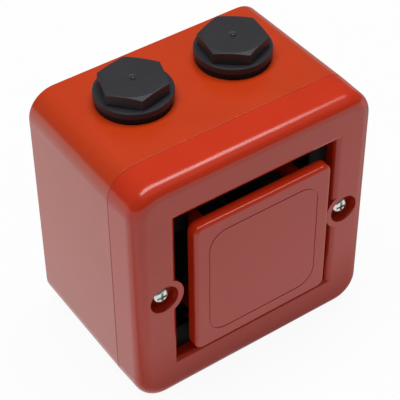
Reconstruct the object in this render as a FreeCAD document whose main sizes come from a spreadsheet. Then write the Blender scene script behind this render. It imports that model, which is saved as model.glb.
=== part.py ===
import FreeCAD, Part
import math
import os
import re
import Sketcher

from FreeCAD import Vector

# Alarm sounder in a square red case, with a square mouth and a deflector plate at the front.
# The origin is the centre of the flat back that lies on the wall. +Z is up, the front faces -Y,
# and every depth below is counted forwards from the wall, so a depth of 10 lies at y = -10.

SIZES = [
    # The case
    ("width", 93.0, "case across, at the parting line"),
    ("height", 93.8, "case from bottom to top, at the parting line"),
    ("depth", 62.0, "wall to the front face"),
    ("rear_depth", 47.8, "wall to the parting line"),
    ("corner_radius", 10.3, "round of the four long edges"),
    ("front_edge_radius", 4.7, "round of the front edge"),
    ("rear_draft", 0.7, "draft of the housing's sides, degrees"),
    ("front_draft", 1.0, "draft of the cover's sides, degrees"),
    ("wall", 3.2, "housing side wall"),
    ("back_wall", 3.0, "housing back wall"),
    ("cover_wall", 3.0, "cover side wall"),
    ("front_skin", 3.0, "cover front wall"),
    ("parting_chamfer", 0.25, "chamfer of both rims at the parting line"),
    ("cut_margin", 1.0, "how far a cut runs past what it cuts"),
    # Cover seal
    ("groove_inset", 0.9, "case side to the seal groove"),
    ("groove_width", 1.5, "seal groove across"),
    ("groove_depth", 1.9, "seal groove below the rim"),
    ("tongue_height", 0.7, "cover tongue behind the parting line"),
    ("seal_clearance", 0.15, "side play of the tongue and the seal in the groove"),
    # Wall fixings
    ("fixing_spacing", 60.0, "wall screws, both ways"),
    ("fixing_radius", 2.25, "wall screw hole"),
    ("fixing_pad_radius", 5.0, "raised pad round a wall screw"),
    ("fixing_pad_height", 1.4, "raised pad above the back wall"),
    # Cover screws, their bosses and the pillars behind them
    ("screw_spacing", 72.5, "cover screw to cover screw"),
    ("boss_radius", 7.4, "screw boss in the mouth"),
    ("counterbore_radius", 5.3, "counterbore round a screw head"),
    ("counterbore_depth", 4.3, "counterbore below the front face"),
    ("screw_hole_radius", 2.0, "clearance hole for a cover screw"),
    ("screw_radius", 1.7, "cover screw thread"),
    ("screw_length", 18.0, "cover screw under its head"),
    ("screw_head_radius", 3.3, "cover screw head"),
    ("screw_head_height", 2.3, "cover screw head"),
    ("cross_width", 0.9, "arm of the driver recess"),
    ("cross_span", 3.8, "driver recess across"),
    ("cross_depth", 1.3, "driver recess below the crown"),
    ("screw_washer_radius", 3.9, "washer under a cover screw head"),
    ("screw_washer_thickness", 0.8, "washer under a cover screw head"),
    ("pillar_radius", 4.6, "pillar in the housing"),
    ("pillar_gap", 0.3, "pillar top below the parting line"),
    ("pillar_clearance", 0.6, "play round a pillar"),
    ("pillar_web", 3.0, "web between pillar and side wall"),
    ("web_gap", 1.0, "web to the horn plate"),
    ("insert_radius", 2.6, "brass insert outside"),
    ("insert_bore", 1.78, "brass insert bore"),
    ("insert_length", 7.0, "brass insert"),
    ("insert_waist", 0.3, "waist of the brass insert"),
    ("pilot_depth", 5.0, "screw room beyond the insert"),
    # Cable entries in the top, and the plugs that stop them
    ("plug_spacing", 38.6, "entry to entry"),
    ("plug_depth", 21.4, "wall to the entry axis"),
    ("spot_face", 0.5, "entry seat below the case top"),
    ("seat_margin", 0.4, "spot face beyond the washer"),
    ("entry_radius", 10.05, "M20 entry bore"),
    ("entry_boss_radius", 12.6, "boss round an entry"),
    ("entry_boss_length", 13.0, "entry bore, seat to the boss's end"),
    ("gusset", 2.4, "gusset between an entry boss and the back wall"),
    ("flange_radius", 13.05, "plug flange"),
    ("seal_radius", 12.6, "sealing washer outside"),
    ("seal_thickness", 2.5, "sealing washer"),
    ("seal_bore", 10.35, "sealing washer bore"),
    ("flange_rim", 2.2, "plug flange at its rim"),
    ("flange_edge", 0.3, "chamfer of the plug flange's rim"),
    ("flange_dish", 0.45, "plug flange beside the head, below its rim"),
    ("hex_flats", 20.5, "plug head across flats"),
    ("hex_height", 4.6, "plug head above its flange"),
    ("crown_radius", 9.75, "flat crown of the plug head"),
    ("crown_slope", 12.0, "slope of the corners' chamfer, degrees"),
    ("left_plug_turn", 18.7, "a corner of the left plug head, right of straight back, degrees"),
    ("right_plug_turn", 9.0, "a corner of the right plug head, right of straight back, degrees"),
    ("thread_radius", 9.97, "plug thread outside"),
    ("thread_length", 11.5, "plug below its seat"),
    ("thread_chamfer", 1.2, "chamfer at the plug's end"),
    ("core_radius", 7.6, "hollow in the plug"),
    ("core_roof", 2.4, "plug wall above its hollow"),
    ("gate_radius", 1.8, "moulding gate dimple on the plug"),
    ("gate_depth", 0.2, "moulding gate dimple"),
    ("nub_radius", 0.8, "gate nub in its dimple"),
    ("nub_height", 0.4, "gate nub above the crown"),
    # Mouth
    ("mouth_width", 66.8, "mouth across, outside its rounded lip"),
    ("mouth_height", 68.2, "mouth from bottom to top, outside its rounded lip"),
    ("lip_radius", 2.3, "round of the lip"),
    ("mouth_wall", 2.2, "wall of the mouth"),
    ("mouth_depth", 16.0, "front face to the horn plate"),
    ("horn_screw_side", 11.3, "case side to a horn screw"),
    ("horn_screw_top", 10.9, "case top or bottom to a horn screw"),
    ("small_boss_radius", 3.4, "boss for a small screw"),
    ("small_pilot_radius", 1.15, "pilot hole of a small screw"),
    ("small_pilot_depth", 8.0, "pilot hole of a small screw"),
    ("small_hole_radius", 1.65, "clearance hole of a small screw"),
    ("small_screw_radius", 1.1, "small screw thread"),
    ("small_head_radius", 2.6, "small screw head"),
    ("small_head_height", 1.7, "small screw head"),
    ("small_screw_length", 8.0, "small screw under its head"),
    # Deflector plate
    ("plate_width", 53.4, "deflector plate across"),
    ("plate_height", 55.0, "deflector plate from bottom to top"),
    ("plate_proud", 3.6, "deflector plate before the front face"),
    ("plate_rim", 4.2, "deflector plate, front to the back of its rim"),
    ("plate_corner", 3.0, "deflector plate corner"),
    ("plate_edge", 1.3, "round of the plate's front edge"),
    ("plate_wall", 2.2, "deflector plate wall"),
    ("outline_width", 43.2, "engraved outline across"),
    ("outline_height", 44.8, "engraved outline from bottom to top"),
    ("outline_corner", 7.0, "engraved outline corner"),
    ("outline_line", 0.4, "engraved line across"),
    ("outline_sink", 0.2, "engraved line depth"),
    ("post_x", 19.0, "deflector post from the middle, across"),
    ("post_z", 19.4, "deflector post from the middle, upwards"),
    ("post_radius", 2.8, "deflector post"),
    ("cone_radius", 13.0, "reflector cone at its foot"),
    ("cone_tip_radius", 1.6, "reflector cone at its tip"),
    ("cone_height", 10.5, "reflector cone"),
    ("cone_curve", 16.0, "hollow curve of the reflector cone"),
    # Horn
    ("horn_margin", 7.0, "edge of the horn plate inside the case side"),
    ("horn_plate", 2.5, "horn plate thickness"),
    ("horn_corner", 4.0, "horn plate corner"),
    ("block_x", 23.65, "inner side of a corner block from the middle, across"),
    ("block_z", 21.5, "inner side of a corner block from the middle, upwards"),
    ("block_drop", 4.5, "front face to the front of a corner block"),
    ("block_wall", 1.6, "wall of a corner block"),
    ("block_play", 0.3, "mouth wall to a corner block"),
    ("throat_radius", 8.0, "horn throat"),
    ("bell_radius", 20.0, "horn at its mouth"),
    ("bell_curve", 13.0, "curve of the horn's flare"),
    ("neck_radius", 15.5, "outside of the horn neck"),
    ("neck_length", 4.0, "horn plate to the driver flange"),
    ("driver_flange", 2.5, "driver flange on the horn"),
    # Driver
    ("driver_radius", 25.4, "driver outside"),
    ("driver_screw_circle", 22.0, "driver screws from the axis"),
    ("driver_screw_length", 11.2, "driver screw under its head"),
    ("driver_seal", 0.8, "seal between horn and driver"),
    ("throat_margin", 0.5, "throat to the driver seal"),
    ("phase_plug_thickness", 2.8, "phase plug disc"),
    ("chamber_radius", 17.0, "air chamber before the diaphragm"),
    ("chamber_depth", 1.6, "air chamber before the diaphragm"),
    ("port_radius", 1.8, "port through the phase plug"),
    ("port_circle", 5.2, "ports from the axis"),
    ("film", 0.3, "diaphragm thickness"),
    ("diaphragm_radius", 19.5, "diaphragm outside"),
    ("dome_radius", 11.6, "diaphragm dome"),
    ("dome_height", 1.1, "diaphragm dome"),
    ("roll_radius", 12.7, "inner edge of the diaphragm surround"),
    ("roll_height", 0.9, "diaphragm surround"),
    ("rim_play", 0.2, "play beside the surround and round the diaphragm"),
    ("clamp_thickness", 2.1, "diaphragm clamp ring"),
    ("coil_inner", 11.9, "voice coil inside"),
    ("coil_outer", 12.4, "voice coil outside"),
    ("coil_length", 6.5, "voice coil"),
    ("gap_radius", 12.9, "top plate bore"),
    ("top_plate_thickness", 3.5, "top plate"),
    ("top_plate_step", 0.6, "top plate inside the driver's outside"),
    ("magnet_inner", 15.0, "magnet bore"),
    ("magnet_outer", 18.6, "magnet outside"),
    ("magnet_thickness", 8.0, "magnet"),
    ("magnet_edge", 0.6, "chamfer of the magnet"),
    ("yoke_thickness", 3.2, "yoke plate"),
    ("yoke_radius", 18.0, "yoke plate"),
    ("yoke_edge", 0.8, "chamfer of the yoke plate"),
    ("pole_radius", 11.4, "yoke pole"),
    ("pole_edge", 0.5, "chamfer of the pole"),
    ("pole_lift", 0.2, "pole before the top plate"),
    ("vent_radius", 2.0, "hole through the yoke"),
    ("tab_width", 14.0, "terminal tab of the clamp ring"),
    ("tab_reach", 29.4, "terminal tab from the axis"),
    ("tag_spacing", 7.0, "solder tag to solder tag"),
    ("tag_width", 2.6, "solder tag"),
    ("tag_length", 4.2, "solder tag"),
    ("tag_thickness", 0.4, "solder tag"),
    ("tag_inset", 0.3, "tab edge to a solder tag"),
    ("lead_inset", 1.4, "tab edge to a lead"),
    ("lead_radius", 0.45, "driver lead"),
    ("lead_bend", 1.6, "bend of a driver lead"),
    ("lead_rise", 3.0, "driver lead behind its tag"),
    # Circuit board and what stands on it
    ("board_face", 36.0, "wall to the board's front side"),
    ("board_thickness", 1.6, "board"),
    ("board_side", 6.5, "case side to the board"),
    ("board_top", 2.4, "entry boss to the board"),
    ("board_bottom", 6.3, "case bottom to the board"),
    ("board_corner", 3.0, "board corner"),
    ("board_hole_margin", 1.0, "play between driver and board"),
    ("board_post_side", 3.5, "board side to a board post"),
    ("board_post_top", 4.5, "board top to a board post"),
    ("board_post_bottom", 26.0, "lower board post below the middle"),
    ("board_post_radius", 3.0, "board post"),
    ("terminal_pitch", 5.08, "terminal way to way"),
    ("terminal_ways", 6, "ways in the terminal block"),
    ("terminal_side", 8.0, "terminal block front to back"),
    ("terminal_height", 10.0, "terminal block above the board"),
    ("terminal_shift", 0.35, "terminal block above the middle of its place"),
    ("terminal_screw_radius", 1.7, "terminal screw"),
    ("terminal_mouth", 2.8, "wire hole of a terminal"),
    ("terminal_floor", 1.2, "board to the wire hole"),
    ("terminal_well", 0.3, "play round a terminal screw"),
    ("terminal_shank", 1.0, "terminal screw shank"),
    ("terminal_slot", 0.6, "slot of a terminal screw"),
    ("terminal_slot_depth", 0.7, "slot of a terminal screw"),
    ("switch_length", 14.4, "tone switch across"),
    ("switch_side", 9.6, "tone switch, upwards"),
    ("switch_height", 5.2, "tone switch above the board"),
    ("switch_x", 25.6, "tone switch left of the middle"),
    ("switch_edge", 1.0, "board's lower edge to the tone switch"),
    ("switch_pitch", 2.54, "slider to slider"),
    ("switch_ways", 5, "sliders in the tone switch"),
    ("slot_width", 1.5, "slot round a slider"),
    ("slot_length", 3.7, "slot round a slider"),
    ("slot_depth", 1.4, "slot round a slider"),
    ("slider_side", 1.2, "slider"),
    ("slider_height", 1.9, "slider"),
    ("slider_gap", 0.12, "slider to the end of its slot at rest"),
    ("trimmer_side", 9.6, "volume trimmer"),
    ("trimmer_height", 4.6, "volume trimmer"),
    ("trimmer_x", 30.9, "volume trimmer right of the middle"),
    ("trimmer_z", 15.6, "volume trimmer below the middle"),
    ("rotor_radius", 2.9, "volume rotor"),
    ("rotor_height", 1.6, "volume rotor"),
    ("rotor_proud", 0.6, "volume rotor before its case"),
    ("rotor_clearance", 0.06, "running play of the volume rotor"),
    ("rotor_slot_width", 0.9, "screwdriver slot"),
    ("rotor_slot_depth", 0.8, "screwdriver slot"),
    ("chip_length", 19.0, "tone chip"),
    ("chip_width", 6.4, "tone chip"),
    ("chip_height", 3.4, "tone chip"),
    ("chip_lift", 0.8, "tone chip above the board"),
    ("chip_x", 29.4, "tone chip left of the middle"),
    ("chip_z", 15.2, "tone chip above the middle"),
    ("chip_pin_pitch", 2.54, "pin to pin"),
    ("chip_pins_a_side", 7, "pins on each side"),
    ("chip_pin_width", 0.6, "pin"),
    ("chip_pin_thickness", 0.3, "pin"),
    ("chip_row_spacing", 7.62, "pin row to pin row"),
    ("capacitor_radius", 4.0, "capacitor"),
    ("capacitor_height", 12.0, "capacitor"),
    ("capacitor_edge", 0.5, "rolled edges of a capacitor"),
    ("capacitor_neck", 1.9, "capacitor neck above the board"),
    ("capacitor_one_x", 30.6, "first capacitor, across"),
    ("capacitor_one_z", 13.0, "first capacitor, upwards"),
    ("capacitor_two_x", 24.6, "second capacitor, across"),
    ("capacitor_two_top", 4.8, "board's upper edge to the second capacitor's middle"),
    ("inductor_x", 30.6, "inductor left of the middle"),
    ("inductor_z", 16.0, "inductor below the middle"),
    ("inductor_radius", 5.4, "inductor core flange"),
    ("inductor_height", 8.0, "inductor core"),
    ("inductor_flange", 1.4, "inductor core flange"),
    ("inductor_spool", 2.4, "inductor core spool"),
    ("winding_radius", 4.7, "inductor winding"),
    ("transistor_x", 27.4, "output transistor right of the middle"),
    ("transistor_edge", 6.0, "board's lower edge to the output transistor's middle"),
    ("transistor_width", 10.0, "output transistor"),
    ("transistor_body", 4.4, "output transistor body thickness"),
    ("transistor_height", 9.0, "output transistor body"),
    ("tab_plate", 1.3, "output transistor metal tab thickness"),
    ("tab_rise", 5.0, "metal tab above the body"),
    ("leg_length", 3.0, "transistor legs"),
    ("leg_side", 0.7, "transistor leg"),
    ("leg_pitch", 2.54, "transistor leg to leg"),
    ("diode_radius", 1.35, "rectifier diode"),
    ("diode_length", 5.0, "rectifier diode"),
    ("diode_lead", 0.35, "diode lead radius"),
    ("diode_bend", 1.2, "diode lead before its bend"),
    ("diode_pitch", 10.6, "diode to diode"),
    ("diode_z", 28.8, "diodes above the middle"),
    ("diode_count", 4, "rectifier diodes"),
]

# The board's edges, from the middle of the case
BOARD_SIDE = "(width / 2 - board_side)"
BOARD_TOP = "(height / 2 - spot_face - entry_boss_length - board_top)"
BOARD_LOW = "(height / 2 - board_bottom)"

# The horn screws, from the middle of the case
HORN_SCREW_X = "(width / 2 - horn_screw_side)"
HORN_SCREW_Z = "(height / 2 - horn_screw_top)"

# The terminal block, between the driver's tab and the case, and what stands by the board's edge
TERMINAL_Z = "(terminal_shift - (tab_reach + height / 2 - wall) / 2)"
SWITCH_Z = "(switch_edge + switch_side / 2 - %s)" % BOARD_LOW
TRANSISTOR_Z = "(transistor_edge - %s)" % BOARD_LOW

# What lies between the front face and the back of the driver
DRIVER_STACK = [
    ("flange", "mouth_depth + horn_plate + neck_length + driver_flange"),
    ("seal", "driver_seal"),
    ("phase_plug", "phase_plug_thickness"),
    ("film", "film"),
    ("clamp", "clamp_thickness"),
    ("top_plate", "top_plate_thickness"),
    ("magnet", "magnet_thickness"),
    ("yoke", "yoke_thickness"),
]

SHEET = "sizes"
NAMES = {name for name, size, note in SIZES}

doc = FreeCAD.newDocument("alarm_sounder")
parts = []


def fill_sheet():
    """Write every driving size into the sheet, with its name as the cell's alias."""
    sheet = doc.addObject("Spreadsheet::Sheet", SHEET)
    for row, (name, size, note) in enumerate(SIZES, start=1):
        sheet.set("A%d" % row, name)
        sheet.set("B%d" % row, str(size))
        sheet.setAlias("B%d" % row, name)
        sheet.set("C%d" % row, note)
    doc.recompute()
    return sheet


def formula(text):
    """Give every size name in a formula the sheet's prefix."""
    return re.sub(r"[a-z_]+", lambda word: (
        SHEET + "." + word.group() if word.group() in NAMES else word.group()), str(text))


def value(text):
    """Work a formula out as a number."""
    result = sheet.evalExpression(formula(text))
    return float(getattr(result, "Value", result))


def new_body(label):
    """Start a sub-part and put it on the list of parts to write."""
    body = doc.addObject("PartDesign::Body", label)
    body.Label = label
    parts.append(body)
    return body


def place(item, x="0", y="0", z="0"):
    """Bind the item's place to formulas."""
    for axis, text in zip("xyz", (x, y, z)):
        item.setExpression("Placement.Base." + axis, formula(text))


def new_sketch(body, plane, offset="0"):
    """Start a sketch on one of the body's own planes, moved along the plane's normal.

    A sketch on XZ_Plane has its normal along -Y, so its offset is a depth from the wall.
    """
    sketch = body.newObject("Sketcher::SketchObject", body.Name + "_sketch")
    support = [item for item in body.Origin.OriginFeatures if item.Role == plane][0]
    sketch.AttachmentSupport = [(support, "")]
    sketch.MapMode = "FlatFace"
    sketch.setExpression("AttachmentOffset.Base.z", formula(offset))
    return sketch


def bind(sketch, constraint, text):
    """Add a dimension to the sketch and bind it to a formula."""
    number = sketch.addConstraint(constraint)
    name = "size%d" % number
    sketch.renameConstraint(number, name)
    sketch.setExpression("Constraints." + name, formula(text))


def draw_outline(sketch, corners, closed=True):
    """Draw an outline through corners given as formulas, closed unless told otherwise.

    A corner is (x, y), or (x, y, radius) where the edge to the next corner is an arc. A minus
    sign before the radius bows the arc to the right of its direction, otherwise to the left.
    """
    points = [Vector(value(corner[0]), value(corner[1]), 0) for corner in corners]
    first = sketch.GeometryCount
    joins = []
    lines = len(corners) if closed else len(corners) - 1
    for number, corner in enumerate(corners[:lines]):
        start = points[number]
        end = points[(number + 1) % len(corners)]
        if len(corner) == 2:
            sketch.addGeometry(Part.LineSegment(start, end))
            joins.append((1, 2))
            continue
        radius = value(corner[2])
        chord = end - start
        reach = math.sqrt(max(radius * radius - chord.Length ** 2 / 4, 0.0))
        left = Vector(-chord.y, chord.x, 0).normalize()
        to_left = radius > 0
        centre = (start + end) / 2 + left * (-reach if to_left else reach)
        circle = Part.Circle(centre, Vector(0, 0, 1), abs(radius))
        angles = [math.atan2(point.y - centre.y, point.x - centre.x) for point in (start, end)]
        if to_left:
            angles.reverse()
        sketch.addGeometry(Part.ArcOfCircle(circle, angles[0], angles[1]))
        joins.append((2, 1) if to_left else (1, 2))
    for number in range(lines if closed else lines - 1):
        after = (number + 1) % lines
        sketch.addConstraint(Sketcher.Constraint(
            "Coincident", first + number, joins[number][1], first + after, joins[after][0]))
    for number, corner in enumerate(corners):
        line = first + min(number, lines - 1)
        start_point = joins[number][0] if number < lines else joins[-1][1]
        bind(sketch, Sketcher.Constraint("DistanceX", -1, 1, line, start_point, points[number].x),
             corner[0])
        bind(sketch, Sketcher.Constraint("DistanceY", -1, 1, line, start_point, points[number].y),
             corner[1])
        if len(corner) == 3:
            radius_text = corner[2].lstrip("-")
            bind(sketch, Sketcher.Constraint("Radius", line, abs(value(radius_text))), radius_text)


def draw_rectangle(sketch, left, right, low, high):
    """Draw a rectangle between two corners given as formulas."""
    draw_outline(sketch, [(left, low), (right, low), (right, high), (left, high)])


def draw_rounded_rectangle(sketch, width, height, radius):
    """Draw a rectangle with round corners about the sketch's origin."""
    across = "(%s) / 2" % width
    up = "(%s) / 2" % height
    inside_x = "(%s - (%s))" % (across, radius)
    inside_y = "(%s - (%s))" % (up, radius)
    bow = "-(%s)" % radius
    draw_outline(sketch, [
        ("-" + inside_x, "-" + up),
        (inside_x, "-" + up, bow),
        (across, "-" + inside_y),
        (across, inside_y, bow),
        (inside_x, up),
        ("-" + inside_x, up, bow),
        ("-" + across, inside_y),
        ("-" + across, "-" + inside_y, bow),
    ])


def draw_circle(sketch, x, y, radius):
    """Draw a circle at a place given as formulas."""
    centre = Vector(value(x), value(y), 0)
    number = sketch.addGeometry(Part.Circle(centre, Vector(0, 0, 1), value(radius)))
    bind(sketch, Sketcher.Constraint("DistanceX", -1, 1, number, 3, centre.x), x)
    bind(sketch, Sketcher.Constraint("DistanceY", -1, 1, number, 3, centre.y), y)
    bind(sketch, Sketcher.Constraint("Radius", number, value(radius)), radius)


def draw_four(sketch, x, y, radius):
    """Draw four equal circles at the corners of a rectangle about the origin."""
    for side in ("", "-"):
        for end in ("", "-"):
            draw_circle(sketch, side + x, end + y, radius)


def extrude(kind, body, sketch, length, reverse, draft):
    """Add a pad or a pocket of the sketch and check which way the volume went."""
    before = body.Shape.Volume if body.Tip else 0.0
    feature = body.newObject("PartDesign::" + kind, body.Name + "_" + kind.lower())
    feature.Profile = sketch
    feature.Reversed = reverse
    feature.setExpression("Length", formula(length))
    if draft is not None:
        feature.setExpression("TaperAngle", formula(draft))
    doc.recompute()
    grown = body.Shape.Volume - before
    if (kind == "Pad") != (grown > 0) or grown == 0:
        raise RuntimeError("%s of %s changed the volume by %.3f" % (kind, body.Label, grown))
    return feature


def pad(body, sketch, length, reverse=False, draft=None):
    """Add material along the sketch's normal, or against it when reversed."""
    return extrude("Pad", body, sketch, length, reverse, draft)


def pocket(body, sketch, length, reverse=False, draft=None):
    """Take material away against the sketch's normal, or along it when reversed."""
    return extrude("Pocket", body, sketch, length, reverse, draft)


def turn(kind, body, sketch):
    """Revolve the sketch fully about its upright axis, to add or to cut."""
    feature = body.newObject("PartDesign::" + kind, body.Name + "_" + kind.lower())
    feature.Profile = sketch
    feature.ReferenceAxis = (sketch, ["V_Axis"])
    feature.Angle = 360.0
    doc.recompute()
    return feature


def turned_part(label, corners, plane="XY_Plane"):
    """Make a sub-part as one revolved outline, about the front-to-back or the upright axis."""
    body = new_body(label)
    sketch = new_sketch(body, plane)
    draw_outline(sketch, corners)
    turn("Revolution", body, sketch)
    return body


def edges_where(feature, test):
    """Name the feature's edges whose every end and middle point passes the test."""
    names = []
    for number, edge in enumerate(feature.Shape.Edges, start=1):
        middle = edge.valueAt((edge.FirstParameter + edge.LastParameter) / 2)
        points = [vertex.Point for vertex in edge.Vertexes] + [middle]
        if all(test(point) for point in points):
            names.append("Edge%d" % number)
    return names


def dress(kind, body, feature, edges, size_name, size):
    """Round or chamfer the named edges by a size bound to a formula."""
    if not edges:
        raise RuntimeError("no edges to dress on " + body.Label)
    dressed = body.newObject("PartDesign::" + kind, body.Name + "_" + kind.lower())
    dressed.Base = (feature, edges)
    dressed.setExpression(size_name, formula(size))
    doc.recompute()
    return dressed


def round_edges(body, feature, edges, radius):
    """Round the named edges."""
    return dress("Fillet", body, feature, edges, "Radius", radius)


def at_depth(depth):
    """Make a test for points that lie at a depth from the wall."""
    target = -value(depth)
    return lambda point: abs(point.y - target) < 0.01


def repeat_round(body, feature, axis, count):
    """Repeat one feature round an axis of the body."""
    pattern = body.newObject("PartDesign::PolarPattern", body.Name + "_pattern")
    pattern.Originals = [feature]
    pattern.Axis = ([item for item in body.Origin.OriginFeatures if item.Role == axis][0], [""])
    pattern.Angle = 360.0
    pattern.Occurrences = count
    body.Tip = pattern
    doc.recompute()
    return pattern


def group_of_copies(label, source, places):
    """Make one sub-part of equal loose pieces: copies of a source piece at several places."""
    parts.remove(source)
    copies = []
    for number, (x, y, z) in enumerate(places):
        copy = doc.addObject("App::Link", "%s_copy%d" % (source.Name, number))
        copy.LinkedObject = source
        place(copy, x, y, z)
        copies.append(copy)
    group = doc.addObject("Part::Compound", label)
    group.Label = label
    group.Links = copies
    parts.append(group)
    doc.recompute()
    return group


def four_places(x, depth, z):
    """List the four corners of a rectangle at one depth."""
    return [(side + x, "-(%s)" % depth, end + z) for side in ("", "-") for end in ("", "-")]


def make_rear_housing():
    """Deep moulded box: open front, pillars for the cover screws and two threaded entries."""
    body = new_body("rear_housing")
    rim = new_sketch(body, "XZ_Plane", "rear_depth")
    draw_rounded_rectangle(rim, "width", "height", "corner_radius")
    block = pad(body, rim, "rear_depth", reverse=True, draft="-rear_draft")
    dress("Chamfer", body, block, edges_where(block, at_depth("rear_depth")), "Size",
          "parting_chamfer")

    hollow = new_sketch(body, "XZ_Plane", "rear_depth")
    draw_rounded_rectangle(hollow, "width - 2 * wall", "height - 2 * wall", "corner_radius - wall")
    pocket(body, hollow, "rear_depth - back_wall", draft="-rear_draft")

    pillars = new_sketch(body, "XZ_Plane", "back_wall / 2")
    for side in ("", "-"):
        draw_circle(pillars, side + "screw_spacing / 2", "0", "pillar_radius")
    pad(body, pillars, "rear_depth - pillar_gap - back_wall / 2")

    webs = new_sketch(body, "XZ_Plane", "back_wall / 2")
    for near, far in (("screw_spacing / 2", "width / 2 - wall / 2"),
                      ("wall / 2 - width / 2", "-screw_spacing / 2")):
        draw_rectangle(webs, near, far, "-pillar_web / 2", "pillar_web / 2")
    pad(body, webs, "depth - mouth_depth - horn_plate - web_gap - back_wall / 2")

    bosses = new_sketch(body, "XY_Plane", "height / 2 - wall / 2")
    for side in ("", "-"):
        draw_circle(bosses, side + "plug_spacing / 2", "-plug_depth", "entry_boss_radius")
    pad(body, bosses, "entry_boss_length + spot_face - wall / 2", reverse=True)

    gussets = new_sketch(body, "XY_Plane", "height / 2 - wall / 2")
    for side in ("", "-"):
        middle = side + "plug_spacing / 2"
        draw_rectangle(gussets, middle + " - gusset / 2", middle + " + gusset / 2",
                       "(entry_boss_radius + entry_radius) / 2 - plug_depth", "-back_wall / 2")
    pad(body, gussets, "entry_boss_length + spot_face - wall / 2", reverse=True)

    seats = new_sketch(body, "XY_Plane", "height / 2 - spot_face")
    for side in ("", "-"):
        draw_circle(seats, side + "plug_spacing / 2", "-plug_depth", "seal_radius + seat_margin")
    pocket(body, seats, "2 * spot_face", reverse=True)

    bores = new_sketch(body, "XY_Plane", "height / 2")
    for side in ("", "-"):
        draw_circle(bores, side + "plug_spacing / 2", "-plug_depth", "entry_radius")
    pocket(body, bores, "entry_boss_length + spot_face + cut_margin")

    insert_holes = new_sketch(body, "XZ_Plane", "rear_depth")
    for side in ("", "-"):
        draw_circle(insert_holes, side + "screw_spacing / 2", "0", "insert_radius")
    pocket(body, insert_holes, "pillar_gap + insert_length + pilot_depth")

    fixing = "fixing_spacing / 2"
    pads = new_sketch(body, "XZ_Plane", "back_wall / 2")
    draw_four(pads, fixing, fixing, "fixing_pad_radius")
    pad(body, pads, "back_wall / 2 + fixing_pad_height")
    holes = new_sketch(body, "XZ_Plane", "back_wall + fixing_pad_height")
    draw_four(holes, fixing, fixing, "fixing_radius")
    pocket(body, holes, "back_wall + fixing_pad_height + cut_margin")

    groove = new_sketch(body, "XZ_Plane", "rear_depth")
    draw_seal_ring(groove, "groove_inset", "groove_width")
    pocket(body, groove, "groove_depth")


def draw_seal_ring(sketch, inset, across):
    """Draw the outer and inner line of a ring that follows the case's outline."""
    for reach in (inset, "%s + %s" % (inset, across)):
        draw_rounded_rectangle(sketch, "width - 2 * (%s)" % reach, "height - 2 * (%s)" % reach,
                               "corner_radius - (%s)" % reach)


def make_housing_seal():
    """Soft cord that lies in the housing's groove and meets the cover's tongue."""
    body = new_body("housing_seal")
    ring = new_sketch(body, "XZ_Plane", "rear_depth - groove_depth")
    draw_seal_ring(ring, "groove_inset + seal_clearance", "groove_width - 2 * seal_clearance")
    pad(body, ring, "groove_depth - tongue_height")


def make_screw_inserts():
    """Two brass inserts pressed into the pillars, with a knurled waist."""
    insert = turned_part("screw_insert_master", [
        ("insert_bore", "0"), ("insert_radius", "0"),
        ("insert_radius", "insert_length * 0.4"),
        ("insert_radius - insert_waist", "insert_length * 0.45"),
        ("insert_radius - insert_waist", "insert_length * 0.55"),
        ("insert_radius", "insert_length * 0.6"),
        ("insert_radius", "insert_length"), ("insert_bore", "insert_length")])
    top = "-(rear_depth - pillar_gap)"
    group_of_copies("screw_inserts", insert, [
        ("screw_spacing / 2", top, "0"), ("-screw_spacing / 2", top, "0")])


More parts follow.
